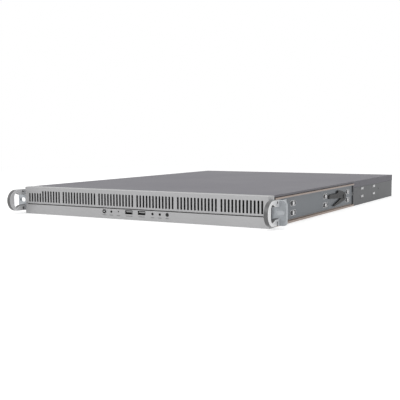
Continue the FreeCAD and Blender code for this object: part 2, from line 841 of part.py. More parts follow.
def make_hinge_pins():
    """Two short pins on the door's axis, held by the arms of the control strip."""
    reach = "bezel_wide/2-0.6-(%s)" % ARM_IN
    right = rod("hinge_pin_right", "X", (ARM_IN, AXIS_Y, AXIS_Z), "pin_radius", reach)
    left = rod("hinge_pin_left", "X", ("-(bezel_wide/2-0.6)", AXIS_Y, AXIS_Z), "pin_radius", reach)
    group("door_hinge_pins", [left, right])


def make_button(label, x, z, radius, front):
    """A round push button: cap through the plate, square collar behind it, stem towards its switch."""
    inside = "bezel_front+plate+button_gap"
    wide = radius + "+0.9"
    thin = radius + "*0.6"
    cap = rod(label + "_cap", "Y", (x, front, z), radius, "%s-(%s)" % (inside, front))
    collar = block(label + "_collar", ("%s-(%s)" % (x, wide), inside, "%s-(%s)" % (z, wide)),
                   ("%s+%s" % (x, wide), inside + "+button_collar", "%s+%s" % (z, wide)))
    stem = block(label + "_stem", (x + "-" + thin, inside, z + "-" + thin),
                 (x + "+" + thin, "switch_front-button_travel-0.15", z + "+" + thin))
    merge(label, [cap, collar, stem])


def make_buttons():
    make_button("power_button", "power_x", "control_z", "power_radius", "bezel_front-0.8")
    make_button("reset_button", "reset_x", "control_z+0.6", "reset_radius", "bezel_front+0.5")
    make_button("ident_button", "ident_x", "control_z", "ident_radius", "bezel_front-0.5")


def make_lamps():
    """Clear lamp rods through the plate, seated on the lamp bodies of the front board."""
    rods = [rod("lamp_power", "Y", ("led_power_x", "bezel_front-0.3", "control_z"),
                "led_power_radius", "lamp_long"),
            rod("lamp_disk", "Y", ("led_disk_x", "bezel_front-0.3", "control_z"),
                "led_radius", "lamp_long"),
            rod("lamp_net", "Y", ("led_net_x", "bezel_front-0.3", "control_z"),
                "led_radius", "lamp_long")]
    group("lamp_rods", rods)


def make_front_board():
    """The small board behind the strip, with a switch behind each button and a lamp behind each rod."""
    top = "panel_board_z+board_thick"
    face = "bezel_front+plate+button_gap*2+button_collar+button_travel"
    plate = block("front_board_plate", ("-panel_board_wide/2", face, "panel_board_z"),
                  ("panel_board_wide/2", "chassis_front-steel-0.5", top))
    pieces = [plate]
    for number, x in enumerate(("power_x", "reset_x", "ident_x")):
        pieces.append(block("front_switch%d" % number, (x + "-3", "switch_front", top + "-0.1"),
                            (x + "+3", "switch_front+4", top + "+6")))
    for number, x in enumerate(("led_power_x", "led_disk_x", "led_net_x")):
        pieces.append(block("front_lamp%d" % number, (x + "-2", "bezel_front-0.3+lamp_long", top + "-0.1"),
                            (x + "+2", "bezel_front-0.3+lamp_long+3", top + "+5")))
    merge("front_panel_board", pieces)
    posts = [hexagon("front_post%d" % number, "Z", (sign + "(panel_board_wide/2-5)", "-0.5", "steel"),
                     "post_across", "panel_board_z-steel") for number, sign in enumerate(("-", ""))]
    group("front_board_posts", posts)


def make_usb_sockets():
    """Two data sockets: a steel shell, a floor at the rear and a tongue."""
    shells = []
    tongues = []
    for number, sign in enumerate(("+", "-")):
        middle = "usb_offset/2%susb_x-0.1" % sign
        front = "bezel_front+0.2"
        rear = front + "+usb_deep"
        shell = block("usb_outer%d" % number, (middle + "-usb_wide/2", front, "usb_z-usb_tall/2"),
                      (middle + "+usb_wide/2", rear, "usb_z+usb_tall/2"))
        room = block("usb_room%d" % number,
                     (middle + "-usb_wide/2+usb_shell", front + "-1", "usb_z-usb_tall/2+usb_shell"),
                     (middle + "+usb_wide/2-usb_shell", rear + "-2", "usb_z+usb_tall/2-usb_shell"))
        shells.append(carve("usb_shell%d" % number, shell, [room]))
        tongues.append(block("usb_tongue%d" % number,
                             (middle + "-usb_wide/2+1.2", front + "+0.8", "usb_z+0.2"),
                             (middle + "+usb_wide/2-1.2", rear + "-2", "usb_z+usb_tall/2-usb_shell-0.4")))
    group("usb_sockets", shells + tongues)


# ---------------------------------------------------------------- ears, handles and slide rails

EAR_X = "bezel_wide/2+ear_gap"
EAR_OUT = "rack_wide/2"


def make_ears():
    """Rack ears: a thick slotted front flange, a bend behind the bezel and a foot along the side."""
    body = new_body("right_ear")
    add(body, "Z", "ear_low", "ear_tall", box_path(EAR_X, "-ear_thick", EAR_OUT, "0"))
    middle = value("ear_low+ear_tall/2")

    def outer_corner(edge):
        box = edge.BoundBox
        return box.XMin > value(EAR_OUT) - 0.1 and box.YLength > 1 and box.ZLength < 1e-6

    soften(body, "ear_corner_high", lambda edge: outer_corner(edge) and edge.BoundBox.ZMin > middle)
    soften(body, "ear_corner_low", lambda edge: outer_corner(edge) and edge.BoundBox.ZMax < middle)
    foot_in = RAIL_FACE + "+0.1"
    turned = "bezel_rear+1"
    add(body, "Z", "rail_low+rail_lip+1", "rail_tall-2*rail_lip-2",
        [(EAR_X, "-ear_thick/2"), (EAR_X + "+ear_wall", "-ear_thick/2"),
         (EAR_X + "+ear_wall", turned + "+ear_wall"), (foot_in + "+ear_wall", turned + "+ear_wall"),
         (foot_in + "+ear_wall", "ear_reach"), (foot_in, "ear_reach"), (foot_in, turned), (EAR_X, turned)])
    cut(body, "Y", "-ear_thick-1", "ear_thick+2",
        long_hole("rack_spacing/2", "rack_slot_z", "rack_slot_long", "rack_slot_tall"))
    sunk = [("handle_x+handle_wide/2", "handle_z%shandle_screw_z" % sign, "handle_screw_head+0.1")
            for sign in "-+"]
    cut(body, "Y", "-handle_screw_deep-0.05", "3", *sunk)
    mirror_copy(body, "left_ear")


def make_handles():
    """Extruded D handles: a thick round front, feet that flare to the ear, and a port in each foot."""
    body = new_body("right_handle")
    root = "-ear_thick"
    nose = "-ear_thick-handle_reach"
    turn = nose + "+handle_radius"
    low = "handle_z-handle_radius"
    high = "handle_z+handle_radius"
    hole = nose + "+handle_bar"
    bend = hole + "+handle_bend"
    flare = root + "-foot_flare"
    add(body, "X", "handle_x", "handle_wide",
        [(root, high), (turn, high, "handle_radius"), (nose, "handle_z", "handle_radius"), (turn, low),
         (root, low), (root, "handle_z-foot_bore"), (flare, "handle_z-foot_bore-foot_slope"),
         (bend, "handle_z-handle_bore", "-handle_bend"), (hole, "handle_z-handle_bore+handle_bend"),
         (hole, "handle_z+handle_bore-handle_bend", "-handle_bend"), (bend, "handle_z+handle_bore"),
         (flare, "handle_z+foot_bore+foot_slope"), (root, "handle_z+foot_bore")])
    port = root + "-foot_reach"
    cut(body, "X", "handle_x-1", "handle_wide+2",
        tall_hole(port, high + "-port_tall", high + "-1.2", "port_wide"))
    side = "port_wide/2"
    shut = low + "+port_tall"
    cut(body, "X", "handle_x-1", "handle_wide+2",
        [("%s-%s" % (port, side), low + "-1"), ("%s+%s" % (port, side), low + "-1"),
         ("%s+%s" % (port, side), shut, side), (port, "%s+%s" % (shut, side), side),
         ("%s-%s" % (port, side), shut)])
    mirror_copy(body, "left_handle")
    screws = []
    for number, level in enumerate("-+"):
        for side, sign in (("right", ""), ("left", "-")):
            spot = (sign + "(handle_x+handle_wide/2)", "-handle_screw_deep",
                    "handle_z%shandle_screw_z" % level)
            name = "%s_handle_screw%d" % (side, number)
            screws.append(rod(name, "Y", spot, "handle_screw_head", "handle_screw_deep"))
    group("handle_screws", screws)


def make_slide_rails():
    """Inner slide rails: a channel with in-turned lips, pierced where the chassis studs come through."""
    body = new_body("right_slide_rail")
    web = WEB
    face = RAIL_FACE
    out = "%s+rail_out-rail_thick" % face
    low = "rail_low"
    high = "rail_low+rail_tall"
    add(body, "Y", "rail_front", "recess_end-0.4-rail_front",
        [(web, low), (out, low), (out, low + "+rail_lip"), (out + "-lip_thick", low + "+rail_lip"),
         (out + "-lip_thick", low + "+rail_thick"), (face, low + "+rail_thick"),
         (face, high + "-rail_thick"),
         (out + "-lip_thick", high + "-rail_thick"), (out + "-lip_thick", high + "-rail_lip"),
         (out, high + "-rail_lip"), (out, high), (web, high)])

    def outer_long_edge(edge):
        box = edge.BoundBox
        at_end = box.ZMax < value(low) + 0.01 or box.ZMin > value(high) - 0.01
        return box.YLength > 100 and box.XMin > value(out) - 0.01 and at_end

    soften(body, "rail_round", outer_long_edge)
    for place in ("stud_first", "stud_second", "stud_third"):
        for level in ("stud_low", "stud_high"):
            cut(body, "X", web + "-1", "rail_thick+2", long_hole(place, level, "key_long", "key_tall"))
    cut(body, "X", web + "-1", "rail_thick+2", tall_hole("rail_dot_y", "lever_z-1.8", "lever_z+1.8", "2"))
    mirror_copy(body, "left_slide_rail")


def make_studs():
    """Shouldered studs of the chassis sides that lock the rails, and the hooks behind the rails."""
    studs = []
    for place in ("stud_first", "stud_second", "stud_third"):
        for level in ("stud_low", "stud_high"):
            name = "%s_%s" % (place, level)
            shank = block(name + "_shank", (WEB, place + "-stud_radius", level + "-stud_radius"),
                          (WEB + "+rail_thick+0.4", place + "+stud_radius", level + "+stud_radius"))
            head = rod(name + "_head", "X", (RAIL_FACE + "+0.3", place, level), "stud_head", "1.1")
            right = merge(name, [shank, head])
            studs += [right, mirror_copy(right, name + "_left")]
    group("rail_studs", studs)
    hooks = []
    for place in ("hook_first", "hook_second"):
        for row, level in enumerate(("stud_low+hook_rise", "stud_high+hook_rise")):
            name = "%s_%d" % (place, row)
            bar = block(name + "_bar", (HALF, place + "-5.5", level + "-2.2"),
                        (HALF + "+1", place + "-3.7", level + "+2.2"))
            stem = block(name + "_stem", (HALF, place + "-3.8", level + "-0.9"),
                         (HALF + "+0.7", place + "+2", level + "+0.9"))
            end = block(name + "_end", (HALF, place + "+1.9", level + "-2.2"),
                        (HALF + "+1", place + "+5.5", level + "+2.2"))
            right = merge(name, [bar, stem, end])
            hooks += [right, mirror_copy(right, name + "_left")]
    group("side_hooks", hooks)


def make_levers():
    """The forked release lever of each rail, on its rivet."""
    body = new_body("right_release_lever")
    y = "lever_y"
    z = "lever_z"
    add(body, "X", RAIL_FACE + "+lever_gap", "lever_thick",
        [(y + "+12", z, "lever_back"), (y + "+7", z + "+6.2"), (y + "-8", z + "+9.8"),
         (y + "-21", z + "+11.2"), (y + "-26.5", z + "+10.9"), (y + "-28", z + "+7.4"),
         (y + "-66.5", z + "+6.9"), (y + "-69.2", z + "+5.4"), (y + "-69.2", z + "+0.8"),
         (y + "-10", z + "-2.4"), (y + "-45.5", z + "-11.6"), (y + "-48", z + "-12.8"),
         (y + "-45.5", z + "-13.3"), (y + "-21.5", z + "-10.8"), (y + "+5", z + "-7", "lever_back")])
    cut(body, "X", RAIL_FACE + "+lever_gap-1", "lever_thick+2", (y, z, "rivet_radius+pin_fit"))
    mirror_copy(body, "left_release_lever")
    shank = rod("rivet_shank", "X", (RAIL_FACE, y, z), "rivet_radius", "lever_thick+lever_gap*2")
    head = rod("rivet_head", "X", (RAIL_FACE + "+lever_thick+lever_gap*2", y, z), "rivet_radius+1.2", "0.8")
    right = merge("right_rivet", [shank, head])
    group("lever_rivets", [right, mirror_copy(right, "left_rivet")])


def make_ear_screws():
    """Screws of each ear's foot, through the rail into the chassis side."""
    screws = []
    for number, y in enumerate(("ear_reach-8", "ear_reach-26")):
        for level, z in enumerate(("stud_low-3", "stud_high+3")):
            name = "ear_screw%d%d" % (number, level)
            right = hexagon(name, "X", (RAIL_FACE + "+0.1+ear_wall", y, z), "hex_head", "hex_deep")
            screws += [right, mirror_copy(right, name + "_left")]
    group("ear_screws", screws)


# ---------------------------------------------------------------- fans

INNER_FRONT = "chassis_wide/2-recess_deep-steel"
FLOOR = "steel"


def make_fan_frame(label, size, deep):
    """A square fan frame about the origin, its front face at y = 0, with struts, disc and pin behind."""
    half = "(%s)/2" % size
    shell = block(label + "_shell", ("-" + half, "0", "-" + half), (half, deep, half))
    tube = rod(label + "_tube", "Y", ("0", "-1", "0"), "fan_bore", deep + "+2")
    disc = rod(label + "_disc", "Y", ("0", deep + "-fan_disc", "0"), "fan_hub", "fan_disc")
    across = block(label + "_across", ("-fan_bore-0.3", deep + "-fan_disc", "-1"),
                   ("fan_bore+0.3", deep, "1"))
    upright_bar = block(label + "_upright", ("-1", deep + "-fan_disc", "-fan_bore-0.3"),
                        ("1", deep, "fan_bore+0.3"))
    pin = rod(label + "_pin", "Y", ("0", deep + "-fan_disc-8", "0"), "shaft_radius", "8+fan_disc/2")
    return merge(label, [carve(label + "_bored", shell, [tube]), disc, across, upright_bar, pin])


def make_rotor(label, deep):
    """Hub and pitched blades about the Y axis."""
    body = new_body(label)
    rear = deep + "-fan_disc-0.6"
    add(body, "Y", "2", rear + "-2", ("0", "0", "fan_hub"))
    cut(body, "Y", deep + "-fan_disc-8.5", "9", ("0", "0", "shaft_radius+pin_fit"))
    front = "3"
    back = deep + "-fan_disc-2.5"
    blade = add(body, "Z", "fan_hub-0.4", "blade_reach-fan_hub+0.4",
                [("-blade_lean", front), ("blade_thick-blade_lean", front),
                 ("blade_lean+blade_thick", back),
                 ("blade_lean", back)])
    ringed = body.newObject("PartDesign::PolarPattern", label + "_blades")
    ringed.Originals = [blade]
    ringed.Axis = (role(body, "Y_Axis"), [""])
    ringed.Angle = 360
    bind(ringed, "Occurrences", "blades")
    body.Tip = ringed
    return body


def make_fans():
    """Six fans in a row behind the drives, one in line with each group of door slots."""
    frame = make_fan_frame("fan_frame_pattern", "fan_size", "fan_deep")
    rotor = make_rotor("fan_rotor_pattern", "fan_deep")
    frames = []
    for number in range(int(value("groups"))):
        x = "(%d-(groups-1)/2)*group_pitch" % number
        frames.append(placed("fan_frame_%d" % (number + 1), frame, x, "fan_y", "fan_z"))
        placed("fan_rotor_%d" % (number + 1), rotor, x, "fan_y", "fan_z")
    group("fan_frames", frames)
    body = new_body("fan_bracket")
    wide = "2*(%s-cover_gap)" % INNER_FRONT
    add(body, "Y", "fan_y-bracket_thick", "bracket_thick",
        box_path("-(%s)/2" % wide, FLOOR, "(%s)/2" % wide, "height-steel*2-cover_gap*2-0.4"))
    add(body, "Z", FLOOR, "bracket_thick",
        box_path("-(%s)/2" % wide, "fan_y-bracket_thick-12", "(%s)/2" % wide, "fan_y-bracket_thick/2"))
    hole = cut(body, "Y", "fan_y-bracket_thick-1", "bracket_thick+2",
               bevelled("-(groups-1)/2*group_pitch", "fan_z-fan_bore", "fan_z+fan_bore", "fan_bore*2", "8"))
    row_of(body, hole, [("group_pitch", "groups")])


# ---------------------------------------------------------------- drives


def make_drives():
    """Four hard drives, each in a folded tray."""
    body = new_body("drive_pattern")
    half = "drive_wide/2"
    add(body, "Z", "0", "drive_tall-1", box_path("-" + half, "0", half, "drive_long"))
    add(body, "Z", "drive_tall-1.1", "1.1",
        [("-%s+4" % half, "3"), (half + "-4", "3"), (half + "-4", "drive_long-22"),
         (half + "-16", "drive_long-4"),
         ("-%s+16" % half, "drive_long-4"), ("-%s+4" % half, "drive_long-22")])
    cut(body, "Z", "-1", "7", box_path("-%s+8" % half, "drive_long-9", half + "-40", "drive_long+1"))
    tray = new_body("tray_pattern")
    out = half + "+0.3+tray_thick"
    add(tray, "Y", "0", "drive_long+6",
        [("-(%s)" % out, FLOOR), ("-(%s)+tray_thick" % out, FLOOR),
         ("-(%s)+tray_thick" % out, "drive_base-tray_thick"),
         (out + "-tray_thick", "drive_base-tray_thick"), (out + "-tray_thick", FLOOR), (out, FLOOR),
         (out, "drive_base+tray_wall"), (out + "-tray_thick", "drive_base+tray_wall"),
         (out + "-tray_thick", "drive_base"), ("-(%s)+tray_thick" % out, "drive_base"),
         ("-(%s)+tray_thick" % out, "drive_base+tray_wall"), ("-(%s)" % out, "drive_base+tray_wall")])
    trays = []
    for number in range(4):
        x = "(%d-1.5)*drive_pitch" % number
        placed("hard_drive_%d" % (number + 1), body, x, "drive_y", "drive_base")
        trays.append(placed("drive_tray_%d" % (number + 1), tray, x, "drive_y", "0"))
    group("drive_trays", trays)


# ---------------------------------------------------------------- main board


def make_finned_block(label, wide, tall, base, count):
    """A heatsink about the origin: a base plate and a row of fins along Y."""
    body = new_body(label)
    half = "%s/2" % wide
    add(body, "Z", "0", base, box_path("-" + half, "-" + half, half, half))
    fin = add(body, "Z", "%s-0.1" % base, "%s-%s+0.1" % (tall, base),
              box_path("-" + half, "-" + half, "-%s+fin_thick" % half, half))
    row_of(body, fin, [("(%s-fin_thick)/(%s-1)" % (wide, count), count)])
    return body


def make_riser_socket():
    """The long socket that the riser card stands in."""
    top = "main_z+board_thick"
    slot = block("riser_slot", ("card_x+card_wide/2-14", "main_y+main_long-120", top),
                 ("card_x+card_wide/2-6", "main_y+main_long-32", top + "+8"))
    groove = block("riser_groove",
                   ("card_x+card_wide/2-10-riser_thick/2", "main_y+main_long-118", top + "+2"),
                   ("card_x+card_wide/2-10+riser_thick/2", "main_y+main_long-34", top + "+9"))
    return carve("riser_socket", slot, [groove])


def make_main_board():
    top = "main_z+board_thick"
    right = "main_x+main_wide"
    rear = "main_y+main_long"
    board = new_body("main_board")
    add(board, "Z", "main_z", "board_thick", box_path("main_x", "main_y", right, rear))
    holes = [(x, y) for x in ("main_x+8", "main_x+main_wide/2+6", right + "-8")
             for y in ("main_y+8", "main_y+main_long/2+50", rear + "-30")]
    posts = [hexagon("board_post%d" % number, "Z", (x, y, FLOOR), "post_wide", "main_z-steel")
             for number, (x, y) in enumerate(holes)]
    group("main_board_posts", posts)
    screws = [hexagon("board_screw%d" % number, "Z", (x, y, top), "hex_head", "hex_deep")
              for number, (x, y) in enumerate(holes)]
    group("main_board_screws", screws)
    sink = make_finned_block("sink_pattern", "sink_wide", "sink_tall", "sink_base", "fins")
    sockets = []
    sinks = []
    for name in ("sink_left", "sink_right"):
        sockets.append(block(name + "_socket", (name + "-socket_wide/2", "sink_y-socket_wide/2", top),
                             (name + "+socket_wide/2", "sink_y+socket_wide/2", top + "+socket_tall")))
        sinks.append(placed(name + "_block", sink, name, "sink_y", top + "+socket_tall"))
    sockets.append(make_riser_socket())
    group("board_sockets", sockets)
    group("processor_heatsinks", sinks)
    hub = make_finned_block("hub_pattern", "hub_sink", "hub_sink_tall", "2", "hub_fins")
    placed("chipset_heatsink", hub, "hub_sink_x", "hub_sink_y", top)


def make_memory():
    """A bank of upright memory modules in their slots."""
    top = "main_z+board_thick"
    module = new_body("module_pattern")
    add(module, "X", "-module_thick/2", "module_thick",
        [("0", "1.5"), ("module_long*0.45", "1.5"), ("module_long*0.45", "4.5"),
         ("module_long*0.45+2.5", "4.5"),
         ("module_long*0.45+2.5", "1.5"), ("module_long", "1.5"), ("module_long", "module_tall+1.5"),
         ("0", "module_tall+1.5")])
    slot = new_body("slot_pattern")
    add(slot, "X", "-slot_body/2", "slot_body",
        [("-9", "0"), ("module_long+9", "0"), ("module_long+9", "slot_tall+7"),
         ("module_long+4", "slot_tall+7"),
         ("module_long+2", "slot_tall"), ("-2", "slot_tall"), ("-4", "slot_tall+7"), ("-9", "slot_tall+7")])
    cut(slot, "X", "-module_thick/2-0.1", "module_thick+0.2",
        box_path("-0.1", "1.4", "module_long+0.1", "slot_tall+8"))
    modules = []
    slots = []
    for number in range(int(value("modules"))):
        x = "module_x+%d*module_pitch" % number
        modules.append(placed("module_%d" % number, module, x, "module_y", top))
        slots.append(placed("slot_%d" % number, slot, x, "module_y", top))
    group("memory_modules", modules)
    group("memory_slots", slots)


# ---------------------------------------------------------------- power supply

SUPPLY_REAR = "chassis_rear-steel"
SUPPLY_FRONT = "chassis_rear-steel-psu_long"
SUPPLY_MID = "psu_z+psu_tall/2"


def make_supply():
    """The supply's case, its fan, mains inlet and rocker switch."""
    body = new_body("supply_case")
    x0 = "psu_x-psu_wide/2"
    x1 = "psu_x+psu_wide/2"
    add(body, "Y", SUPPLY_FRONT, "psu_long", box_path(x0, "psu_z", x1, "psu_z+psu_tall"))
    cut(body, "Y", SUPPLY_FRONT + "+supply_wall", "psu_long-2*supply_wall",
        box_path(x0 + "+supply_wall", "psu_z+supply_wall", x1 + "-supply_wall",
                 "psu_z+psu_tall-supply_wall"))
    wall = ("Y", SUPPLY_REAR + "-supply_wall-1", "supply_wall+2")
    cut(body, *wall, around("psu_x+inlet_x", SUPPLY_MID, "inlet_room_wide+2.2", "inlet_room_tall+2.2"))
    cut(body, *wall, around("psu_x+rocker_x", SUPPLY_MID, "rocker_wide+0.2", "rocker_tall+0.2"))
    for ring_in, ring_out in (("4.5", "9.5"), ("11.5", "17.2")):
        for start in range(4):
            cut(body, *wall, quarter_slot("psu_x+supply_fan_x", SUPPLY_MID, ring_in, ring_out, start))
    vent = cut(body, "Y", SUPPLY_FRONT + "-1", "supply_wall+2",
               around(x0 + "+8", SUPPLY_MID, "3.4", "psu_tall-16"))
    row_of(body, vent, [("7", "13")])
    frame = make_fan_frame("supply_fan_pattern", "psu_tall-2*supply_wall", "supply_fan_deep")
    rotor = make_rotor("supply_rotor_pattern", "supply_fan_deep")
    fan_y = SUPPLY_REAR + "-supply_wall-supply_fan_deep-0.1"
    placed("supply_fan_frame", frame, "psu_x+supply_fan_x", fan_y, SUPPLY_MID)
    placed("supply_fan_rotor", rotor, "psu_x+supply_fan_x", fan_y, SUPPLY_MID)


def quarter_slot(u, v, inner, outer, quarter):
    """One quarter of a ring-shaped opening, with the guard's ribs left between quarters."""
    rib = "0.8"
    turns = ((1, 1), (-1, 1), (-1, -1), (1, -1))
    sx, sy = turns[quarter]
    flip = sx * sy > 0
    near_out = ("%s+(%d)*sqrt(%s^2-%s^2)" % (u, sx, outer, rib), "%s+(%d)*%s" % (v, sy, rib))
    far_out = ("%s+(%d)*%s" % (u, sx, rib), "%s+(%d)*sqrt(%s^2-%s^2)" % (v, sy, outer, rib))
    near_in = ("%s+(%d)*sqrt(%s^2-%s^2)" % (u, sx, inner, rib), "%s+(%d)*%s" % (v, sy, rib))
    far_in = ("%s+(%d)*%s" % (u, sx, rib), "%s+(%d)*sqrt(%s^2-%s^2)" % (v, sy, inner, rib))
    if flip:
        return [near_out + (outer,), far_out, far_in + ("-(%s)" % inner,), near_in]
    return [near_out + ("-(%s)" % outer,), far_out, far_in + (inner,), near_in]


def make_inlet_and_switch():
    """Mains inlet with its three blades, and the rocker in its frame."""
    x = "psu_x+inlet_x"
    inlet = new_body("power_inlet")
    add(inlet, "Y", SUPPLY_REAR, "1.6", around(x, SUPPLY_MID, "inlet_wide", "inlet_tall"))
    add(inlet, "Y", SUPPLY_REAR + "-inlet_deep", "inlet_deep+0.1",
        around(x, SUPPLY_MID, "inlet_room_wide+2", "inlet_room_tall+2"))
    bevel = "4"
    left = x + "-inlet_room_wide/2"
    right = x + "+inlet_room_wide/2"
    low = SUPPLY_MID + "-inlet_room_tall/2"
    high = SUPPLY_MID + "+inlet_room_tall/2"
    cut(inlet, "Y", SUPPLY_REAR + "-inlet_deep+2", "inlet_deep+1",
        [(left, low), (right, low), (right, "%s-%s" % (high, bevel)), ("%s-%s" % (right, bevel), high),
         ("%s+%s" % (left, bevel), high), (left, "%s-%s" % (high, bevel))])
    blades = [around("%s+(%d)" % (x, dx), "%s+(%d)" % (SUPPLY_MID, dz), "2", "4")
              for dx, dz in ((-7, -2), (0, 2), (7, -2))]
    add(inlet, "Y", SUPPLY_REAR + "-inlet_deep+1", "inlet_deep-3", *blades)
    x = "psu_x+rocker_x"
    frame = new_body("switch_frame")
    add(frame, "Y", SUPPLY_REAR, "rocker_frame",
        around(x, SUPPLY_MID, "rocker_wide+2.4", "rocker_tall+2.4"))
    add(frame, "Y", SUPPLY_REAR + "-10", "10.1", around(x, SUPPLY_MID, "rocker_wide", "rocker_tall"))
    cut(frame, "Y", SUPPLY_REAR + "-8.5", "12", around(x, SUPPLY_MID, "rocker_wide-2", "rocker_tall-2"))
    half = "rocker_wide/2-1.3"
    pivot_y = SUPPLY_REAR + "-rocker_pivot"
    rocker = new_body("switch_rocker")
    reach = "rocker_tall/2-1.5"
    add(rocker, "X", "%s-(%s)" % (x, half), "2*(%s)" % half,
        [(pivot_y + "-2.4", SUPPLY_MID), (pivot_y, SUPPLY_MID + "-(%s)" % reach),
         (pivot_y + "+rocker_pivot+rocker_out", SUPPLY_MID + "-(%s)+0.4" % reach),
         (pivot_y + "+rocker_pivot+0.9", SUPPLY_MID),
         (pivot_y + "+rocker_pivot+rocker_out", SUPPLY_MID + "+(%s)-0.4" % reach),
         (pivot_y, SUPPLY_MID + "+(%s)" % reach)])
    add(rocker, "X", "%s-(%s)-0.25" % (x, half), "2*(%s)+0.5" % half, (pivot_y, SUPPLY_MID, "0.9"))


# ---------------------------------------------------------------- rear ports and cards


def make_rear_ports():
    """The stamped port plate and the connectors that stand on the main board behind it."""
    top = "main_z+board_thick"
    plate = new_body("port_plate")
    inside = SUPPLY_REAR + "-port_plate"
    add(plate, "Y", inside, "port_plate",
        box_path("ports_x-ports_wide/2-3", "ports_low-2.5", "ports_x+ports_wide/2+3", "ports_high+2.5"))
    ports = []
    for number, dx in enumerate((-44, -25, -6)):
        x = "ports_x+(%d)" % dx
        shell = block("lan_shell%d" % number, (x + "-lan_wide/2", SUPPLY_REAR + "-lan_deep", top),
                      (x + "+lan_wide/2", SUPPLY_REAR + "+0.4", top + "+lan_tall"))
        room = block("lan_room%d" % number,
                     (x + "-lan_room_wide/2", SUPPLY_REAR + "-lan_deep+4", top + "+2.6"),
                     (x + "+lan_room_wide/2", SUPPLY_REAR + "+1", top + "+2.6+lan_room_tall"))
        ports.append(carve("lan_port%d" % number, shell, [room]))
        cut(plate, "Y", inside + "-1", "port_plate+2",
            box_path(x + "-lan_wide/2-0.2", top + "-0.2", x + "+lan_wide/2+0.2", top + "+lan_tall+0.2"))
    for number, dx in enumerate((22, 57)):
        x = "ports_x+(%d)" % dx
        base = block("plug_base%d" % number, (x + "-shell_wide/2", SUPPLY_REAR + "-12", top),
                     (x + "+shell_wide/2", SUPPLY_REAR + "-port_plate-0.1", top + "+shell_tall"))
        nose = block("plug_nose%d" % number, (x + "-8.4", SUPPLY_REAR + "-1", top + "+2.2"),
                     (x + "+8.4", SUPPLY_REAR + "+5", top + "+10.4"))
        ports.append(merge("screen_port%d" % number, [base, nose]))
        cut(plate, "Y", inside + "-1", "port_plate+2",
            box_path(x + "-8.7", top + "+1.9", x + "+8.7", top + "+10.7"))
    x = "ports_x-66"
    stack = block("stack_shell", (x + "-stack_wide/2", SUPPLY_REAR + "-17", top),
                  (x + "+stack_wide/2", SUPPLY_REAR + "+0.4", top + "+stack_tall"))
    rooms = []
    tongues = []
    for number, low in enumerate((top + "+1", top + "+8.8")):
        rooms.append(block("stack_room%d" % number, (x + "-6.3", SUPPLY_REAR + "-14", low),
                           (x + "+6.3", SUPPLY_REAR + "+1", low + "+5.2")))
        tongues.append(block("stack_tongue%d" % number, (x + "-5.6", SUPPLY_REAR + "-14.5", low + "+2.9"),
                             (x + "+5.6", SUPPLY_REAR + "-1", low + "+4.8")))
    ports.append(merge("usb_stack", [carve("stack_open", stack, rooms)] + tongues))
    group("rear_ports", ports)
    cut(plate, "Y", inside + "-1", "port_plate+2",
        box_path(x + "-stack_wide/2-0.2", top + "-0.2", x + "+stack_wide/2+0.2", top + "+stack_tall+0.2"))


def make_expansion():
    """A blank bracket over the card opening, and the riser that a card would plug into."""
    blank = new_body("card_blank")
    inside = SUPPLY_REAR + "-blank_thick"
    low = "card_low-2.5"
    high = "card_low+card_tall+2.5"
    right = "card_x+card_wide/2+4"
    add(blank, "Y", inside, "blank_thick", box_path("card_x-card_wide/2-4", low, right, high))
    add(blank, "X", right + "-blank_thick", "blank_thick",
        [(inside + "-10", low), (inside + "+blank_thick/2", low), (inside + "+blank_thick/2", high),
         (inside + "-10", high)])
    top = "main_z+board_thick"
    card = block("riser_card", ("card_x+card_wide/2-10-riser_thick/2", "main_y+main_long-118", top + "+2"),
                 ("card_x+card_wide/2-10+riser_thick/2", "main_y+main_long-34", top + "+28"))
    card.Label = "riser_card"


# ---------------------------------------------------------------- build and write

NODES = """
    chassis_base top_cover cover_guide_screws cover_thumbscrews control_strip grille_door door_filter
    filter_frame door_hinge_pins power_button reset_button ident_button lamp_rods front_panel_board
    front_board_posts usb_sockets right_ear left_ear right_handle left_handle handle_screws
    ear_screws right_slide_rail left_slide_rail rail_studs side_hooks right_release_lever
    left_release_lever lever_rivets fan_bracket fan_frames fan_rotor_1 fan_rotor_2 fan_rotor_3
    fan_rotor_4 fan_rotor_5 fan_rotor_6 hard_drive_1 hard_drive_2 hard_drive_3 hard_drive_4
    drive_trays main_board main_board_posts main_board_screws board_sockets processor_heatsinks
    chipset_heatsink memory_modules memory_slots supply_case supply_fan_frame supply_fan_rotor
    power_inlet switch_frame switch_rocker port_plate rear_ports card_blank riser_card
    """.split()


def make_everything():
    make_chassis()
    make_cover()
    make_cover_screws()
    make_control_strip()
    make_door()
    make_door_filter()
    make_hinge_pins()
    make_buttons()
    make_lamps()
    make_front_board()
    make_usb_sockets()
    make_ears()
    make_handles()
    make_slide_rails()
    make_studs()
    make_levers()
    make_ear_screws()
    make_fans()
    make_drives()
    make_main_board()
    make_memory()
    make_supply()
    make_inlet_and_switch()
    make_rear_ports()
    make_expansion()


def check_document():
    """Stop before anything is written if an object failed or a shape isn't sound."""
    for thing in doc.Objects:
        if "Invalid" in thing.State or "Error" in thing.State:
            raise RuntimeError("%s failed: %s" % (thing.Name, thing.State))
    for name in NODES:
        shape = doc.getObject(name).Shape
        if shape.isNull() or not shape.isValid():
            raise RuntimeError("%s has no sound shape" % name)


make_everything()
doc.recompute()
check_document()
os.makedirs("parts", exist_ok=True)
for name in NODES:
    doc.getObject(name).Shape.exportStep("parts/%s.step" % name)
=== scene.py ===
import bmesh
import bpy
import json
import math
from mathutils import Matrix, Vector


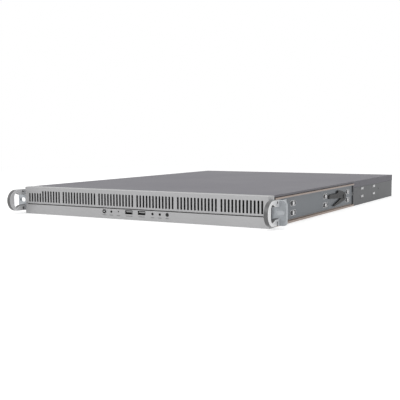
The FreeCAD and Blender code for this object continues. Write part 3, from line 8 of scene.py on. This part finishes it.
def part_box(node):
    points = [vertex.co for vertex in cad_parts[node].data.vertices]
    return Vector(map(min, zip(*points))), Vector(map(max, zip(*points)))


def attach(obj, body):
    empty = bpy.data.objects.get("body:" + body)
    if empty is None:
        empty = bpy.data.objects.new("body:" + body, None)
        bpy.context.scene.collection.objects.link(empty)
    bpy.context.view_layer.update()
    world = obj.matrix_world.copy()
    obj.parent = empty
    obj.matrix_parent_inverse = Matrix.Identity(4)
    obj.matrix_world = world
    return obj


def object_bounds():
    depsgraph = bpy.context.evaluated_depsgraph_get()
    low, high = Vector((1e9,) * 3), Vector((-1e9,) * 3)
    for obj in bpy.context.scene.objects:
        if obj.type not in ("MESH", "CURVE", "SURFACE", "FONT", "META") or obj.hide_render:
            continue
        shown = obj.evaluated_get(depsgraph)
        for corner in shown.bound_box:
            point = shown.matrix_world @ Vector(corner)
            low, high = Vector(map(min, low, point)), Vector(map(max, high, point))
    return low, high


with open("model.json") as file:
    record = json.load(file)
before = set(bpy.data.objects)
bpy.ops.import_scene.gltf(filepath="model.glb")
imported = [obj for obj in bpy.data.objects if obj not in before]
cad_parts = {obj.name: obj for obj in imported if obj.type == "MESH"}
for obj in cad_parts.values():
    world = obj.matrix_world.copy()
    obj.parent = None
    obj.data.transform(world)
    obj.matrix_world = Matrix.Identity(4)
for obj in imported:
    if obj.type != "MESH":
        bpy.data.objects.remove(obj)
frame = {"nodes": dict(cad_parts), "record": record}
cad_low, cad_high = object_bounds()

scene = bpy.context.scene
nodes = frame["nodes"]

# ---- colours
SILVER = (1.0, 1.0, 1.012)
COOL = (0.95, 1.0, 1.05)


def grey(level, tint=SILVER):
    """A linear colour at one brightness, with a slight tint."""
    return tuple(level * part for part in tint) + (1.0,)


def scaled(colour, factor):
    """The same colour, lighter or darker."""
    return tuple(min(1.0, factor * part) for part in colour[:3]) + (1.0,)


# ---- materials
EDGE_SAMPLES = 4
EDGE_AGREEMENT = (0.90, 0.995)  # of the rounded normal with the flat one, on an edge and off it
CLOUD_SIZE, CLOUD_DETAIL, CLOUD_TONE = 0.12, 4.0, (0.95, 1.05)
GRAIN_DETAIL, GRAIN_TONE, GRAIN_HEIGHT = 2.0, (1.02, 0.94), 0.00006
WEAR_SIZE, WEAR_RANGE = 0.004, (0.25, 0.9)
METAL_GLOSS_SPREAD = (-0.05, 0.06)
MOULD_CLOUD_SIZE, MOULD_TONE, MOULD_GRAIN_HEIGHT = 0.03, (0.85, 1.12), 0.00005
MOULD_GLOSS_SPREAD = (-0.06, 0.06)


class Recipe:
    """A node material that is built up step by step."""

    def __init__(self, name):
        self.material = bpy.data.materials.new(name)
        self.material.use_nodes = True
        self.tree = self.material.node_tree
        self.shader = self.tree.nodes["Principled BSDF"]
        places = self.add("ShaderNodeTexCoord")
        self.place = places.outputs["Object"]
        self.facing = places.outputs["Normal"]
        self.normal = None

    def add(self, kind, **settings):
        node = self.tree.nodes.new(kind)
        for key, setting in settings.items():
            setattr(node, key, setting)
        return node

    def link(self, source, target):
        self.tree.links.new(source, target)

    def along(self, vector, axis):
        """One coordinate of a place or a direction."""
        parts = self.add("ShaderNodeSeparateXYZ")
        self.link(vector, parts.inputs["Vector"])
        return parts.outputs[axis]

    def maths(self, operation, first, second=0.0):
        node = self.add("ShaderNodeMath", operation=operation)
        for socket, source in zip(node.inputs, (first, second)):
            if isinstance(source, float):
                socket.default_value = source
            else:
                self.link(source, socket)
        return node.outputs["Value"]

    def stretched(self, scale):
        """Object coordinates, stretched to draw a pattern out along an axis."""
        mapping = self.add("ShaderNodeMapping")
        mapping.inputs["Scale"].default_value = scale
        self.link(self.place, mapping.inputs["Vector"])
        return mapping.outputs["Vector"]

    def noise(self, size, detail=3.0, lay=None):
        """Noise whose cells are about `size` metres across; a lay draws them out into lines."""
        texture = self.add("ShaderNodeTexNoise")
        texture.inputs["Scale"].default_value = 1.0 / size
        texture.inputs["Detail"].default_value = detail
        self.link(self.stretched(lay) if lay else self.place, texture.inputs["Vector"])
        return texture.outputs["Fac"]

    def spread(self, source, low, high, start=0.3, end=0.7):
        """Takes a value from start..end to low..high."""
        ranged = self.add("ShaderNodeMapRange")
        ranged.inputs["From Min"].default_value = start
        ranged.inputs["From Max"].default_value = end
        ranged.inputs["To Min"].default_value = low
        ranged.inputs["To Max"].default_value = high
        self.link(source, ranged.inputs["Value"])
        return ranged.outputs["Result"]

    def mix(self, factor, first, second):
        """Blends two colours; each is a socket or a plain colour."""
        blend = self.add("ShaderNodeMix", data_type="RGBA")
        self.link(factor, blend.inputs["Factor"])
        for key, colour in (("A", first), ("B", second)):
            socket = next(s for s in blend.inputs if s.name == key and s.type == "RGBA")
            if isinstance(colour, tuple):
                socket.default_value = colour
            else:
                self.link(colour, socket)
        return next(s for s in blend.outputs if s.type == "RGBA")

    def shaded(self, colour, shade):
        """The colour, multiplied by a plain value."""
        levels = self.add("ShaderNodeCombineColor")
        for channel in ("Red", "Green", "Blue"):
            self.link(shade, levels.inputs[channel])
        tone = self.add("ShaderNodeMix", data_type="RGBA", blend_type="MULTIPLY")
        tone.inputs["Factor"].default_value = 1.0
        first, second = (s for s in tone.inputs if s.type == "RGBA")
        self.link(colour, first)
        self.link(levels.outputs["Color"], second)
        return next(s for s in tone.outputs if s.type == "RGBA")

    def edges(self, radius):
        """Rounds sharp edges for the light and returns a mask that is 1 on them."""
        bevel = self.add("ShaderNodeBevel", samples=EDGE_SAMPLES)
        bevel.inputs["Radius"].default_value = radius
        flat = self.add("ShaderNodeNewGeometry")
        turned = self.add("ShaderNodeVectorMath", operation="DOT_PRODUCT")
        self.link(bevel.outputs["Normal"], turned.inputs[0])
        self.link(flat.outputs["Normal"], turned.inputs[1])
        self.normal = bevel.outputs["Normal"]
        return self.spread(turned.outputs["Value"], 1.0, 0.0, *EDGE_AGREEMENT)

    def bump(self, height, strength, distance):
        node = self.add("ShaderNodeBump")
        node.inputs["Strength"].default_value = strength
        node.inputs["Distance"].default_value = distance
        self.link(height, node.inputs["Height"])
        if self.normal is not None:
            self.link(self.normal, node.inputs["Normal"])
        self.normal = node.outputs["Normal"]

    def finish(self, colour, roughness, metallic, specular):
        self.link(colour, self.shader.inputs["Base Color"])
        self.link(roughness, self.shader.inputs["Roughness"])
        self.shader.inputs["Metallic"].default_value = metallic
        self.shader.inputs["Specular IOR Level"].default_value = specular
        if self.normal is not None:
            self.link(self.normal, self.shader.inputs["Normal"])
        return self.material


def metal(name, colour, roughness, metallic=1.0, grain=0.0006, lay=None, depth=0.3,
          worn=1.35, edge=0.0005, specular=0.5, zones=()):
    """Sheet or cast metal: cloudy tone, fine grain or brush lines, and paler worn edges.

    Each zone is a function that makes a mask, and the colour set there: the rails' tan lips, and
    painted reflection on the handles.
    """
    recipe = Recipe(name)
    mask = recipe.edges(edge)
    cloud = recipe.noise(CLOUD_SIZE, CLOUD_DETAIL)
    fine = recipe.noise(grain, GRAIN_DETAIL, lay)
    wear = recipe.spread(recipe.noise(WEAR_SIZE), *WEAR_RANGE)
    base = recipe.mix(recipe.maths("MULTIPLY", mask, wear), colour, scaled(colour, worn))
    for make_mask, zone_colour in zones:
        base = recipe.mix(make_mask(recipe), base, zone_colour)
    shade = recipe.maths("MULTIPLY", recipe.spread(cloud, *CLOUD_TONE),
                         recipe.spread(fine, *GRAIN_TONE))
    full = recipe.shaded(base, shade)
    recipe.bump(fine, depth, GRAIN_HEIGHT)
    rough = recipe.spread(cloud, *(roughness + part for part in METAL_GLOSS_SPREAD))
    return recipe.finish(full, rough, metallic, specular)


def plastic(name, colour, roughness, grain=0.0009, depth=0.35, edge=0.0003, worn=1.5, specular=0.3):
    """Moulded plastic or solder mask: fine spark-eroded grain and slightly polished edges."""
    recipe = Recipe(name)
    mask = recipe.edges(edge)
    fine = recipe.noise(grain)
    cloud = recipe.noise(MOULD_CLOUD_SIZE)
    darker, paler = (scaled(colour, part) for part in MOULD_TONE)
    tone = recipe.mix(recipe.spread(cloud, 0.0, 1.0), darker, paler)
    full = recipe.mix(mask, tone, scaled(colour, worn))
    recipe.bump(fine, depth, MOULD_GRAIN_HEIGHT)
    rough = recipe.spread(cloud, *(roughness + part for part in MOULD_GLOSS_SPREAD))
    return recipe.finish(full, rough, 0.0, specular)


def height_from(start, end):
    """A mask that runs from 0 to 1 as the height above the underside goes from start to end."""
    def make(recipe):
        return recipe.spread(recipe.along(recipe.place, "Z"), 0.0, 1.0, start, end)
    return make


def painted_reflection_faces(recipe):
    """A mask that is 0 where a face looks left or right and 1 where it looks another way; it places
    the handles' painted reflection.
    """
    size = recipe.maths("ABSOLUTE", recipe.along(recipe.facing, "X"))
    return recipe.spread(size, 0.0, 1.0, *SIDE_SHARE)


SIDE_SHARE = (0.7, 0.5)  # of a face's direction that is left or right, for a mask of 0 and of 1
TAN = (0.36, 0.29, 0.25, 1.0)
rail_low, rail_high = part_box("right_slide_rail")
UPPER_LIP, LOWER_LIP = 0.0022, 0.0043  # how far each tan lip reaches from the rail's edge
SHARP = 0.0002  # over which one finish changes to the next
upper_lip = height_from(rail_high.z - UPPER_LIP - SHARP, rail_high.z - UPPER_LIP)
lower_lip = height_from(rail_low.z + LOWER_LIP + SHARP, rail_low.z + LOWER_LIP)
FRONT = {"roughness": 0.45, "metallic": 0.6, "grain": 0.0005, "worn": 1.3}

# The photograph shows the handles' sides pale and the rest of them dark. Both tones are painted
# reflection, not two finishes of the metal: the pale sides and the grey(0.14) zone on the other
# faces suit the photograph's light only. One tone of about grey(0.42) and no zones would be the
# plain metal.
LOOKS = {
    "front_aluminium": (metal, {"colour": grey(0.45), "edge": 0.0003, **FRONT}),
    "strip_aluminium": (metal, {"colour": grey(0.45), **FRONT}),
    "ear_aluminium": (metal, {"colour": grey(0.46, COOL), "roughness": 0.42, "metallic": 0.6,
                              "edge": 0.0006, "worn": 1.3}),
    # painted reflection: pale grey(0.85) sides, dark grey(0.14) on every face that does not look
    # left or right
    "handle_aluminium": (metal, {"colour": grey(0.85), "roughness": 0.40, "metallic": 0.5,
                                 "grain": 0.0004, "lay": (1, 30, 1), "depth": 0.1, "worn": 1.1,
                                 "edge": 0.0006, "zones": [(painted_reflection_faces, grey(0.14))]}),
    "cover_paint": (metal, {"colour": (0.185, 0.180, 0.200, 1.0), "roughness": 0.6,
                            "metallic": 0.1, "grain": 0.0005, "worn": 1.4, "specular": 0.25}),
    "chassis_steel": (metal, {"colour": (0.125, 0.128, 0.133, 1.0), "roughness": 0.5,
                              "metallic": 0.4, "specular": 0.35}),
    "rail_steel": (metal, {"colour": (0.150, 0.163, 0.178, 1.0), "roughness": 0.42, "metallic": 0.6,
                           "worn": 1.8, "zones": [(upper_lip, TAN), (lower_lip, TAN)]}),
    "bright_steel": (metal, {"colour": grey(0.72), "roughness": 0.35, "metallic": 0.5}),
    "lever_plastic": (plastic, {"colour": grey(0.075), "roughness": 0.6, "edge": 0.0008,
                                "worn": 1.2, "specular": 0.2}),
    "filter_foam": (plastic, {"colour": grey(0.003), "roughness": 0.95, "grain": 0.0012,
                              "depth": 1.0}),
    "button_metal": (metal, {"colour": grey(0.5), "roughness": 0.3}),
    "button_dark": (plastic, {"colour": grey(0.010), "roughness": 0.4}),
    "ring_black": (plastic, {"colour": grey(0.003), "roughness": 0.6, "edge": 0.0001,
                             "worn": 1.1, "specular": 0.05}),
    "caption_ink": (plastic, {"colour": grey(0.27), "roughness": 0.6, "worn": 1.0}),
    "video_blue": (plastic, {"colour": (0.012, 0.035, 0.19, 1.0), "roughness": 0.45}),
    "serial_teal": (plastic, {"colour": (0.01, 0.12, 0.13, 1.0), "roughness": 0.45}),
    "contact_gold": (metal, {"colour": (0.55, 0.36, 0.12, 1.0), "roughness": 0.3}),
    "lamp_green": (plastic, {"colour": (0.06, 0.30, 0.05, 1.0), "roughness": 0.3}),
    "lamp_clear": (plastic, {"colour": (0.006, 0.005, 0.005, 1.0), "roughness": 0.3, "worn": 1.1,
                             "specular": 0.1}),
    "board_green": (plastic, {"colour": (0.015, 0.10, 0.035, 1.0), "roughness": 0.35}),
    "connector": (metal, {"colour": grey(0.55), "roughness": 0.3}),
    "black_plastic": (plastic, {"colour": grey(0.015), "roughness": 0.5}),
    "pale_plastic": (plastic, {"colour": grey(0.42), "roughness": 0.4, "worn": 1.1}),
    "fan_plastic": (plastic, {"colour": grey(0.02), "roughness": 0.42}),
    "drive_metal": (metal, {"colour": grey(0.45), "roughness": 0.38, "grain": 0.0015}),
    "sink_metal": (metal, {"colour": grey(0.68), "roughness": 0.32, "grain": 0.0004,
                           "lay": (1, 40, 1)}),
    "supply_steel": (metal, {"colour": grey(0.50), "roughness": 0.36, "grain": 0.003}),
}
finishes = {name: make(name, **look) for name, (make, look) in LOOKS.items()}
for part in frame["record"]["subparts"]:
    thing = nodes[part["node"]]
    thing.data.materials.clear()
    thing.data.materials.append(finishes[part["material_slot"]])


def dress(node, finish):
    """Gives one CAD node a finish of its own."""
    nodes[node].data.materials[0] = finishes[finish]


dress("control_strip", "strip_aluminium")
dress("cover_guide_screws", "chassis_steel")
dress("side_hooks", "bright_steel")
dress("lever_rivets", "lever_plastic")
for name in ("filter_frame", "usb_sockets"):
    dress(name, "button_dark")


# ---- small pieces that are made here
ROUNDING_STEPS = 2
RING_SIDES = 32
TO_FRONT = Matrix.Rotation(math.radians(90.0), 4, "X")


def piece(name, mesh_maker, finish, body, bevel=0.0):
    """A new mesh piece, given its finish and put on the body that it moves with."""
    shape = bmesh.new()
    mesh_maker(shape)
    mesh = bpy.data.meshes.new(name)
    shape.to_mesh(mesh)
    shape.free()
    thing = bpy.data.objects.new(name, mesh)
    scene.collection.objects.link(thing)
    mesh.materials.append(finishes[finish])
    if bevel:
        rounding = thing.modifiers.new("rounding", "BEVEL")
        rounding.width = bevel
        rounding.segments = ROUNDING_STEPS
        rounding.limit_method = "ANGLE"
    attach(thing, body)


def add_box(shape, low, high):
    """A box between two corners."""
    low, high = Vector(low), Vector(high)
    middle = Matrix.Translation((low + high) / 2)
    size = Matrix.Diagonal((*(high - low), 1.0))
    bmesh.ops.create_cube(shape, size=1.0, matrix=middle @ size)


def add_disc(shape, centre, radius, depth, sides):
    """A short cylinder about centre; its axis runs front to rear."""
    bmesh.ops.create_cone(shape, cap_ends=True, segments=sides, radius1=radius, radius2=radius,
                          depth=depth, matrix=Matrix.Translation(centre) @ TO_FRONT)


def close_loops(shape, loops):
    """Joins loops of corners, each to the next and the last to the first, by faces."""
    count = len(loops[0])
    for here, there in zip(loops, loops[1:] + loops[:1]):
        for step in range(count):
            after = (step + 1) % count
            shape.faces.new((here[step], there[step], there[after], here[after]))
    bmesh.ops.recalc_face_normals(shape, faces=shape.faces[:])


def add_ring(shape, centre, radius, inner, depth, sides=RING_SIDES):
    """A flat ring about centre, with square edges; its axis runs front to rear."""
    place = Matrix.Translation(centre) @ TO_FRONT
    loops = []
    for reach, level in ((radius, 0.5), (radius, -0.5), (inner, -0.5), (inner, 0.5)):
        loops.append([shape.verts.new(place @ Vector((reach * math.cos(step * math.tau / sides),
                                                      reach * math.sin(step * math.tau / sides),
                                                      level * depth))) for step in range(sides)])
    close_loops(shape, loops)


CAP_RADIUS = 0.003
RING_MARGIN = 0.00005  # from the cap's edge
RING_HOLE = 0.40  # as a share of the cap
RING_DEPTH, RING_FORWARD = 0.0003, 0.00004


def make_power_mark():
    """The power button's dark ring, raised from the cap by a hair."""
    low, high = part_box("power_button")
    middle = (low + high) / 2

    def ring(shape):
        add_ring(shape, (middle.x, low.y - RING_FORWARD, middle.z),
                 CAP_RADIUS - RING_MARGIN, CAP_RADIUS * RING_HOLE, RING_DEPTH)
    piece("power_ring", ring, "ring_black", "power_button", bevel=0.00008)


RIM_STEPS = 32
RIM_WIDE, RIM_PROUD = 0.0006, 0.0003


def add_rim(shape, face, middle, long, tall, wide, proud):
    """A thin rounded frame, long along Y, about a place on a side face."""
    corner = tall / 2
    loops = []
    for reach, level in ((wide, 0.0), (wide, proud), (0.0, proud), (0.0, 0.0)):
        loop = []
        for step in range(RIM_STEPS):
            angle = math.tau * (step + 0.5) / RIM_STEPS
            shift = math.copysign(long / 2 - corner, math.cos(angle))
            loop.append(shape.verts.new((face * (1.0 + level / abs(face)),
                                         middle[0] + shift + (corner + reach) * math.cos(angle),
                                         middle[1] + (corner + reach) * math.sin(angle))))
        loops.append(loop)
    close_loops(shape, loops)


CONTROL_Z = 0.0108  # the height of the row of controls
CAPTION_DROP = 0.0053  # from the controls down to the rules
CAPTION_HALF = 0.0005  # half a rule's height
CAPTION_PROUD, CAPTION_SUNK = 0.00003, 0.0001
CAPTIONS = ((-0.0568, 0.0070), (-0.0436, 0.0070), (-0.0304, 0.0060), (-0.0104, 0.0120),
            (0.0122, 0.0110), (0.0317, 0.0060), (0.0445, 0.0060), (0.0573, 0.0060))


def make_captions():
    """A thin printed rule under each control, in the place of its caption."""
    face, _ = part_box("control_strip")
    level = CONTROL_Z - CAPTION_DROP
    for number, (middle, wide) in enumerate(CAPTIONS):
        def rule(shape, middle=middle, wide=wide):
            add_box(shape, (middle - wide / 2, face.y - CAPTION_PROUD, level - CAPTION_HALF),
                    (middle + wide / 2, face.y + CAPTION_SUNK, level + CAPTION_HALF))
        piece("caption_rule_%d" % (number + 1), rule, "caption_ink", "chassis")


def add_shell(shape, middle, wide, narrow, tall, front, rear):
    """A D-shaped plug face: wide at the top, narrow below, running front to rear."""
    outline = [(-wide, tall), (wide, tall), (narrow, -tall), (-narrow, -tall)]
    ends = [[shape.verts.new((middle.x + u / 2, y, middle.z + v / 2)) for u, v in outline]
            for y in (front, rear)]
    for step in range(len(outline)):
        after = (step + 1) % len(outline)
        shape.faces.new((ends[0][step], ends[0][after], ends[1][after], ends[1][step]))
    shape.faces.new(ends[0])
    shape.faces.new(ends[1])
    bmesh.ops.recalc_face_normals(shape, faces=shape.faces[:])


SCREEN_PORTS = (("video", 0.022, "video_blue", (5, 5, 5)), ("serial", 0.057, "serial_teal", (5, 4)))
SCREEN_HEIGHT = 0.0063  # of a port's middle above the foot of the lowest port
SHELL_WIDE, SHELL_NARROW, SHELL_TALL = 0.0152, 0.0136, 0.0062
SHELL_SUNK, SHELL_PROUD = 0.001, 0.0004
PIN_PITCH = 0.0023
ROW_SHARE = 0.8  # of the pitch, from one row to the next
PIN_RADIUS, PIN_DEPTH, PIN_SIDES = 0.0005, 0.0001, 12
JACK_SHIFT, JACK_FORWARD = 0.0125, 0.0012
JACK_RADIUS, JACK_HOLE, JACK_LONG, JACK_SIDES = 0.0026, 0.0012, 0.0030, 6


def make_screen_ports():
    """Insulators, contact holes and jack screws of the two screened ports at the rear."""
    low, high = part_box("rear_ports")
    plate_low, plate_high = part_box("port_plate")
    centre_x = (plate_low.x + plate_high.x) / 2
    front, rear = high.y - SHELL_SUNK, high.y + SHELL_PROUD
    for name, shift, finish, rows in SCREEN_PORTS:
        middle = Vector((centre_x + shift, high.y, low.z + SCREEN_HEIGHT))

        def insulator(shape, middle=middle):
            add_shell(shape, middle, SHELL_WIDE, SHELL_NARROW, SHELL_TALL, front, rear)

        def holes(shape, middle=middle, rows=rows):
            for row, count in enumerate(rows):
                level = middle.z + ((len(rows) - 1) / 2 - row) * PIN_PITCH * ROW_SHARE
                for place in range(count):
                    spot = (middle.x + (place - (count - 1) / 2) * PIN_PITCH, rear, level)
                    add_disc(shape, spot, PIN_RADIUS, PIN_DEPTH, PIN_SIDES)

        def jacks(shape, middle=middle):
            for side in (-JACK_SHIFT, JACK_SHIFT):
                spot = (middle.x + side, plate_high.y + JACK_FORWARD, middle.z)
                add_ring(shape, spot, JACK_RADIUS, JACK_HOLE, JACK_LONG, JACK_SIDES)
        piece(name + "_insulator", insulator, finish, "chassis", bevel=0.0003)
        piece(name + "_contact_holes", holes, "black_plastic", "chassis")
        piece(name + "_jack_screws", jacks, "bright_steel", "chassis", bevel=0.0002)


NETWORK_PLACES = (-0.044, -0.025, -0.006)
SOCKET_PROUD = 0.0004  # how far the sockets' mouths stand out of the port plate
CONTACTS, CONTACT_PITCH, CONTACT_HALF = 8, 0.00102, 0.0002
CONTACT_ENDS = (0.0110, 0.0012)  # inside the mouth
CONTACT_LEVELS = (0.0090, 0.0107)
LAMP_SHIFT, LAMP_HALF = 0.0062, 0.0011
LAMP_SUNK, LAMP_PROUD = 0.0005, 0.0002
LAMP_LEVELS = (0.0009, 0.0021)


def make_network_contacts():
    """Eight sprung contacts and two lamps in each network socket."""
    low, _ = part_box("rear_ports")
    plate_low, plate_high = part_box("port_plate")
    centre_x = (plate_low.x + plate_high.x) / 2
    face = plate_high.y + SOCKET_PROUD

    def contacts(shape):
        deep, shallow = CONTACT_ENDS
        foot, head = CONTACT_LEVELS
        for shift in NETWORK_PLACES:
            for place in range(CONTACTS):
                x = centre_x + shift + (place - (CONTACTS - 1) / 2) * CONTACT_PITCH
                add_box(shape, (x - CONTACT_HALF, face - deep, low.z + foot),
                        (x + CONTACT_HALF, face - shallow, low.z + head))

    def lamps(shape):
        foot, head = LAMP_LEVELS
        for shift in NETWORK_PLACES:
            for side in (-LAMP_SHIFT, LAMP_SHIFT):
                x = centre_x + shift + side
                add_box(shape, (x - LAMP_HALF, face - LAMP_SUNK, low.z + foot),
                        (x + LAMP_HALF, face + LAMP_PROUD, low.z + head))
    piece("network_contacts", contacts, "contact_gold", "chassis")
    piece("network_lamps", lamps, "lamp_green", "chassis", bevel=0.0001)


SCREW_RADIUS = 0.0018
SCREW_FLAT = Matrix.Diagonal((1.0, 0.4, 1.0, 1.0))
SCREW_FROM_SIDE, SCREW_FROM_TOP = 0.0025, 0.0035
SLOT_HALF_LONG, SLOT_HALF_WIDE = 0.0010, 0.0002
SLOT_FROM, SLOT_TO = 0.0004, 0.0008  # outside the plate's face


def make_plate_screws():
    """Cross-head screws that hold the port plate."""
    plate_low, plate_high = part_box("port_plate")
    level = plate_high.z - SCREW_FROM_TOP
    spots = [(plate_low.x + SCREW_FROM_SIDE, plate_high.y, level),
             (plate_high.x - SCREW_FROM_SIDE, plate_high.y, level)]

    def heads(shape):
        for spot in spots:
            bmesh.ops.create_uvsphere(shape, u_segments=20, v_segments=8, radius=SCREW_RADIUS,
                                      matrix=Matrix.Translation(spot) @ SCREW_FLAT)

    def crosses(shape):
        for x, y, z in spots:
            for across, up in ((SLOT_HALF_LONG, SLOT_HALF_WIDE), (SLOT_HALF_WIDE, SLOT_HALF_LONG)):
                add_box(shape, (x - across, y + SLOT_FROM, z - up),
                        (x + across, y + SLOT_TO, z + up))
    piece("plate_screw_heads", heads, "bright_steel", "chassis")
    piece("plate_screw_crosses", crosses, "black_plastic", "chassis")


STUD_ROWS = (0.0135, 0.0274)
STUD_PLACES = (0.0773, 0.2094, 0.3172)
KEY_LONG, KEY_TALL = 0.020, 0.0068
RAIL_SET_BACK = 0.0033
RAIL_FACE = rail_high.x - RAIL_SET_BACK  # the rail's flat face, in from its outermost edge
STOP_SUNK, STOP_PROUD = 0.0001, 0.0005
STOP_ENDS, STOP_LEVELS = (0.3418, 0.3430), (0.0190, 0.0245)


def make_rail_marks():
    """Raised rims round the rails' openings, bright to paint the glint on the openings' edges, and
    a stop tab behind the last of them.
    """
    for side, sign in (("right", 1.0), ("left", -1.0)):
        def rims(shape, sign=sign):
            for place in STUD_PLACES:
                for level in STUD_ROWS:
                    add_rim(shape, sign * RAIL_FACE, (place, level), KEY_LONG, KEY_TALL,
                            RIM_WIDE, RIM_PROUD)

        def stops(shape, sign=sign):
            inside, outside = sorted(
                (sign * (RAIL_FACE - STOP_SUNK), sign * (RAIL_FACE + STOP_PROUD)))
            add_box(shape, (inside, STOP_ENDS[0], STOP_LEVELS[0]),
                    (outside, STOP_ENDS[1], STOP_LEVELS[1]))
        # bright steel on the rims is painted glint at the openings' edges
        piece(side + "_rail_glint_rims", rims, "bright_steel", "chassis")
        piece(side + "_rail_stop", stops, "bright_steel", "chassis", bevel=0.0001)


USB_WIDE, USB_SHELL = 0.0131, 0.00035
TONGUE_HALF, TONGUE_FRONT, TONGUE_REAR = 0.0052, 0.0006, 0.001
TONGUE_LEVELS = (0.0024, 0.0042)  # above the socket's floor


def make_socket_tongues():
    """The pale tongue in each of the two front sockets."""
    low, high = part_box("usb_sockets")
    for number, middle in enumerate((low.x + USB_WIDE / 2, high.x - USB_WIDE / 2)):
        floor = low.z + USB_SHELL

        def tongue(shape, middle=middle, floor=floor):
            add_box(shape, (middle - TONGUE_HALF, low.y + TONGUE_FRONT, floor + TONGUE_LEVELS[0]),
                    (middle + TONGUE_HALF, high.y - TONGUE_REAR, floor + TONGUE_LEVELS[1]))
        piece("socket_tongue_%d" % (number + 1), tongue, "pale_plastic", "chassis", bevel=0.0001)


make_power_mark()
make_rail_marks()
make_socket_tongues()
make_captions()
make_screen_ports()
make_network_contacts()
make_plate_screws()


# ---- floor, world and lamps
FLOOR_HALF = 12.0
PAPER = (0.86, 0.86, 0.86, 1.0)
FLOOR_GLOW = 0.50
WORLD_FILL = 0.55
FADE_START, FADE_END = 0.9, 1.8


def camera_sees(tree):
    """A value that is 1 for the camera, reflections and glass, and 0 for the light itself."""
    path = tree.nodes.new("ShaderNodeLightPath")
    seen = path.outputs["Is Camera Ray"]
    for name in ("Is Glossy Ray", "Is Transmission Ray"):
        either = tree.nodes.new("ShaderNodeMath")
        either.operation = "MAXIMUM"
        tree.links.new(seen, either.inputs[0])
        tree.links.new(path.outputs[name], either.inputs[1])
        seen = either.outputs["Value"]
    return seen


def make_floor():
    """A pale floor that keeps the object's shadow and fades to white away from it."""
    half, level = FLOOR_HALF, cad_low.z
    mesh = bpy.data.meshes.new("studio_floor")
    corners = [(-half, -half, level), (half, -half, level),
               (half, half, level), (-half, half, level)]
    mesh.from_pydata(corners, [], [(0, 1, 2, 3)])
    floor = bpy.data.objects.new("studio_floor", mesh)
    scene.collection.objects.link(floor)
    paper = bpy.data.materials.new("studio_paper")
    paper.use_nodes = True
    tree = paper.node_tree
    shader = tree.nodes["Principled BSDF"]
    shader.inputs["Base Color"].default_value = PAPER
    shader.inputs["Roughness"].default_value = 1.0
    shader.inputs["Specular IOR Level"].default_value = 0.0
    seen = camera_sees(tree)

    glow = tree.nodes.new("ShaderNodeEmission")
    near = tree.nodes.new("ShaderNodeMath")
    near.operation = "MULTIPLY"
    near.inputs[1].default_value = FLOOR_GLOW
    tree.links.new(seen, near.inputs[0])
    tree.links.new(near.outputs["Value"], glow.inputs["Strength"])
    lit = tree.nodes.new("ShaderNodeAddShader")
    tree.links.new(shader.outputs["BSDF"], lit.inputs[0])
    tree.links.new(glow.outputs["Emission"], lit.inputs[1])

    white = tree.nodes.new("ShaderNodeEmission")
    far = tree.nodes.new("ShaderNodeMapRange")
    far.inputs["To Min"].default_value = WORLD_FILL
    far.inputs["To Max"].default_value = 1.0
    tree.links.new(seen, far.inputs["Value"])
    tree.links.new(far.outputs["Result"], white.inputs["Strength"])

    places = tree.nodes.new("ShaderNodeTexCoord")
    reach = tree.nodes.new("ShaderNodeVectorMath")
    reach.operation = "LENGTH"
    tree.links.new(places.outputs["Object"], reach.inputs[0])
    fade = tree.nodes.new("ShaderNodeMapRange")
    fade.interpolation_type = "SMOOTHSTEP"
    fade.inputs["From Min"].default_value = FADE_START
    fade.inputs["From Max"].default_value = FADE_END
    tree.links.new(reach.outputs["Value"], fade.inputs["Value"])
    whole = tree.nodes.new("ShaderNodeMixShader")
    tree.links.new(fade.outputs["Result"], whole.inputs["Fac"])
    tree.links.new(lit.outputs["Shader"], whole.inputs[1])
    tree.links.new(white.outputs["Emission"], whole.inputs[2])
    tree.links.new(whole.outputs["Shader"], tree.nodes["Material Output"].inputs["Surface"])
    floor.data.materials.append(paper)


def make_world():
    """White for the camera and reflections, and an even, lower fill for the light itself."""
    world = bpy.data.worlds.new("studio_world")
    scene.world = world
    world.use_nodes = True
    tree = world.node_tree
    background = tree.nodes["Background"]
    background.inputs["Color"].default_value = (1.0, 1.0, 1.0, 1.0)
    strength = tree.nodes.new("ShaderNodeMapRange")
    strength.inputs["To Min"].default_value = WORLD_FILL
    strength.inputs["To Max"].default_value = 1.0
    tree.links.new(camera_sees(tree), strength.inputs["Value"])
    tree.links.new(strength.outputs["Result"], background.inputs["Strength"])


def make_lamp(name, place, aim, size, power):
    """A square area lamp that looks at a point."""
    lamp = bpy.data.lights.new(name, "AREA")
    lamp.shape = "SQUARE"
    lamp.size = size
    lamp.energy = power
    holder = bpy.data.objects.new(name, lamp)
    scene.collection.objects.link(holder)
    holder.location = place
    holder.rotation_mode = "QUATERNION"
    holder.rotation_quaternion = (Vector(aim) - Vector(place)).to_track_quat("-Z", "Y")


make_floor()
make_world()
make_lamp("key_lamp", place=(-1.6, -2.2, 2.0), aim=(0.0, 0.1, 0.0), size=1.8, power=26.0)
make_lamp("top_lamp", place=(0.4, 0.8, 2.6), aim=(0.0, 0.2, 0.0), size=2.2, power=16.0)


# ---- camera, at the place and angle fitted to the photograph
CAMERA_PLACE = Vector((0.6228, -0.8868, 0.1241))
CAMERA_TURN, CAMERA_TIP, CAMERA_ROLL = 30.25, 5.04, -0.309  # degrees
SENSOR_WIDTH, FOCAL_LENGTH = 36.0, 64.9  # millimetres
CLIP_START = 0.05


def make_camera():
    """The camera, turned about the upright, tipped down and rolled a little."""
    turned, tipped, rolled = map(math.radians, (CAMERA_TURN, CAMERA_TIP, CAMERA_ROLL))
    lens = bpy.data.cameras.new("camera")
    lens.sensor_width = SENSOR_WIDTH
    lens.lens = FOCAL_LENGTH
    lens.clip_start = CLIP_START
    camera = bpy.data.objects.new("camera", lens)
    scene.collection.objects.link(camera)
    turn = Matrix.Rotation(turned, 4, "Z")
    tip = Matrix.Rotation(math.radians(90.0) - tipped, 4, "X")
    roll = Matrix.Rotation(rolled, 4, "Z")
    camera.matrix_world = Matrix.Translation(CAMERA_PLACE) @ turn @ tip @ roll
    scene.camera = camera


make_camera()
scene.view_settings.view_transform = "Standard"
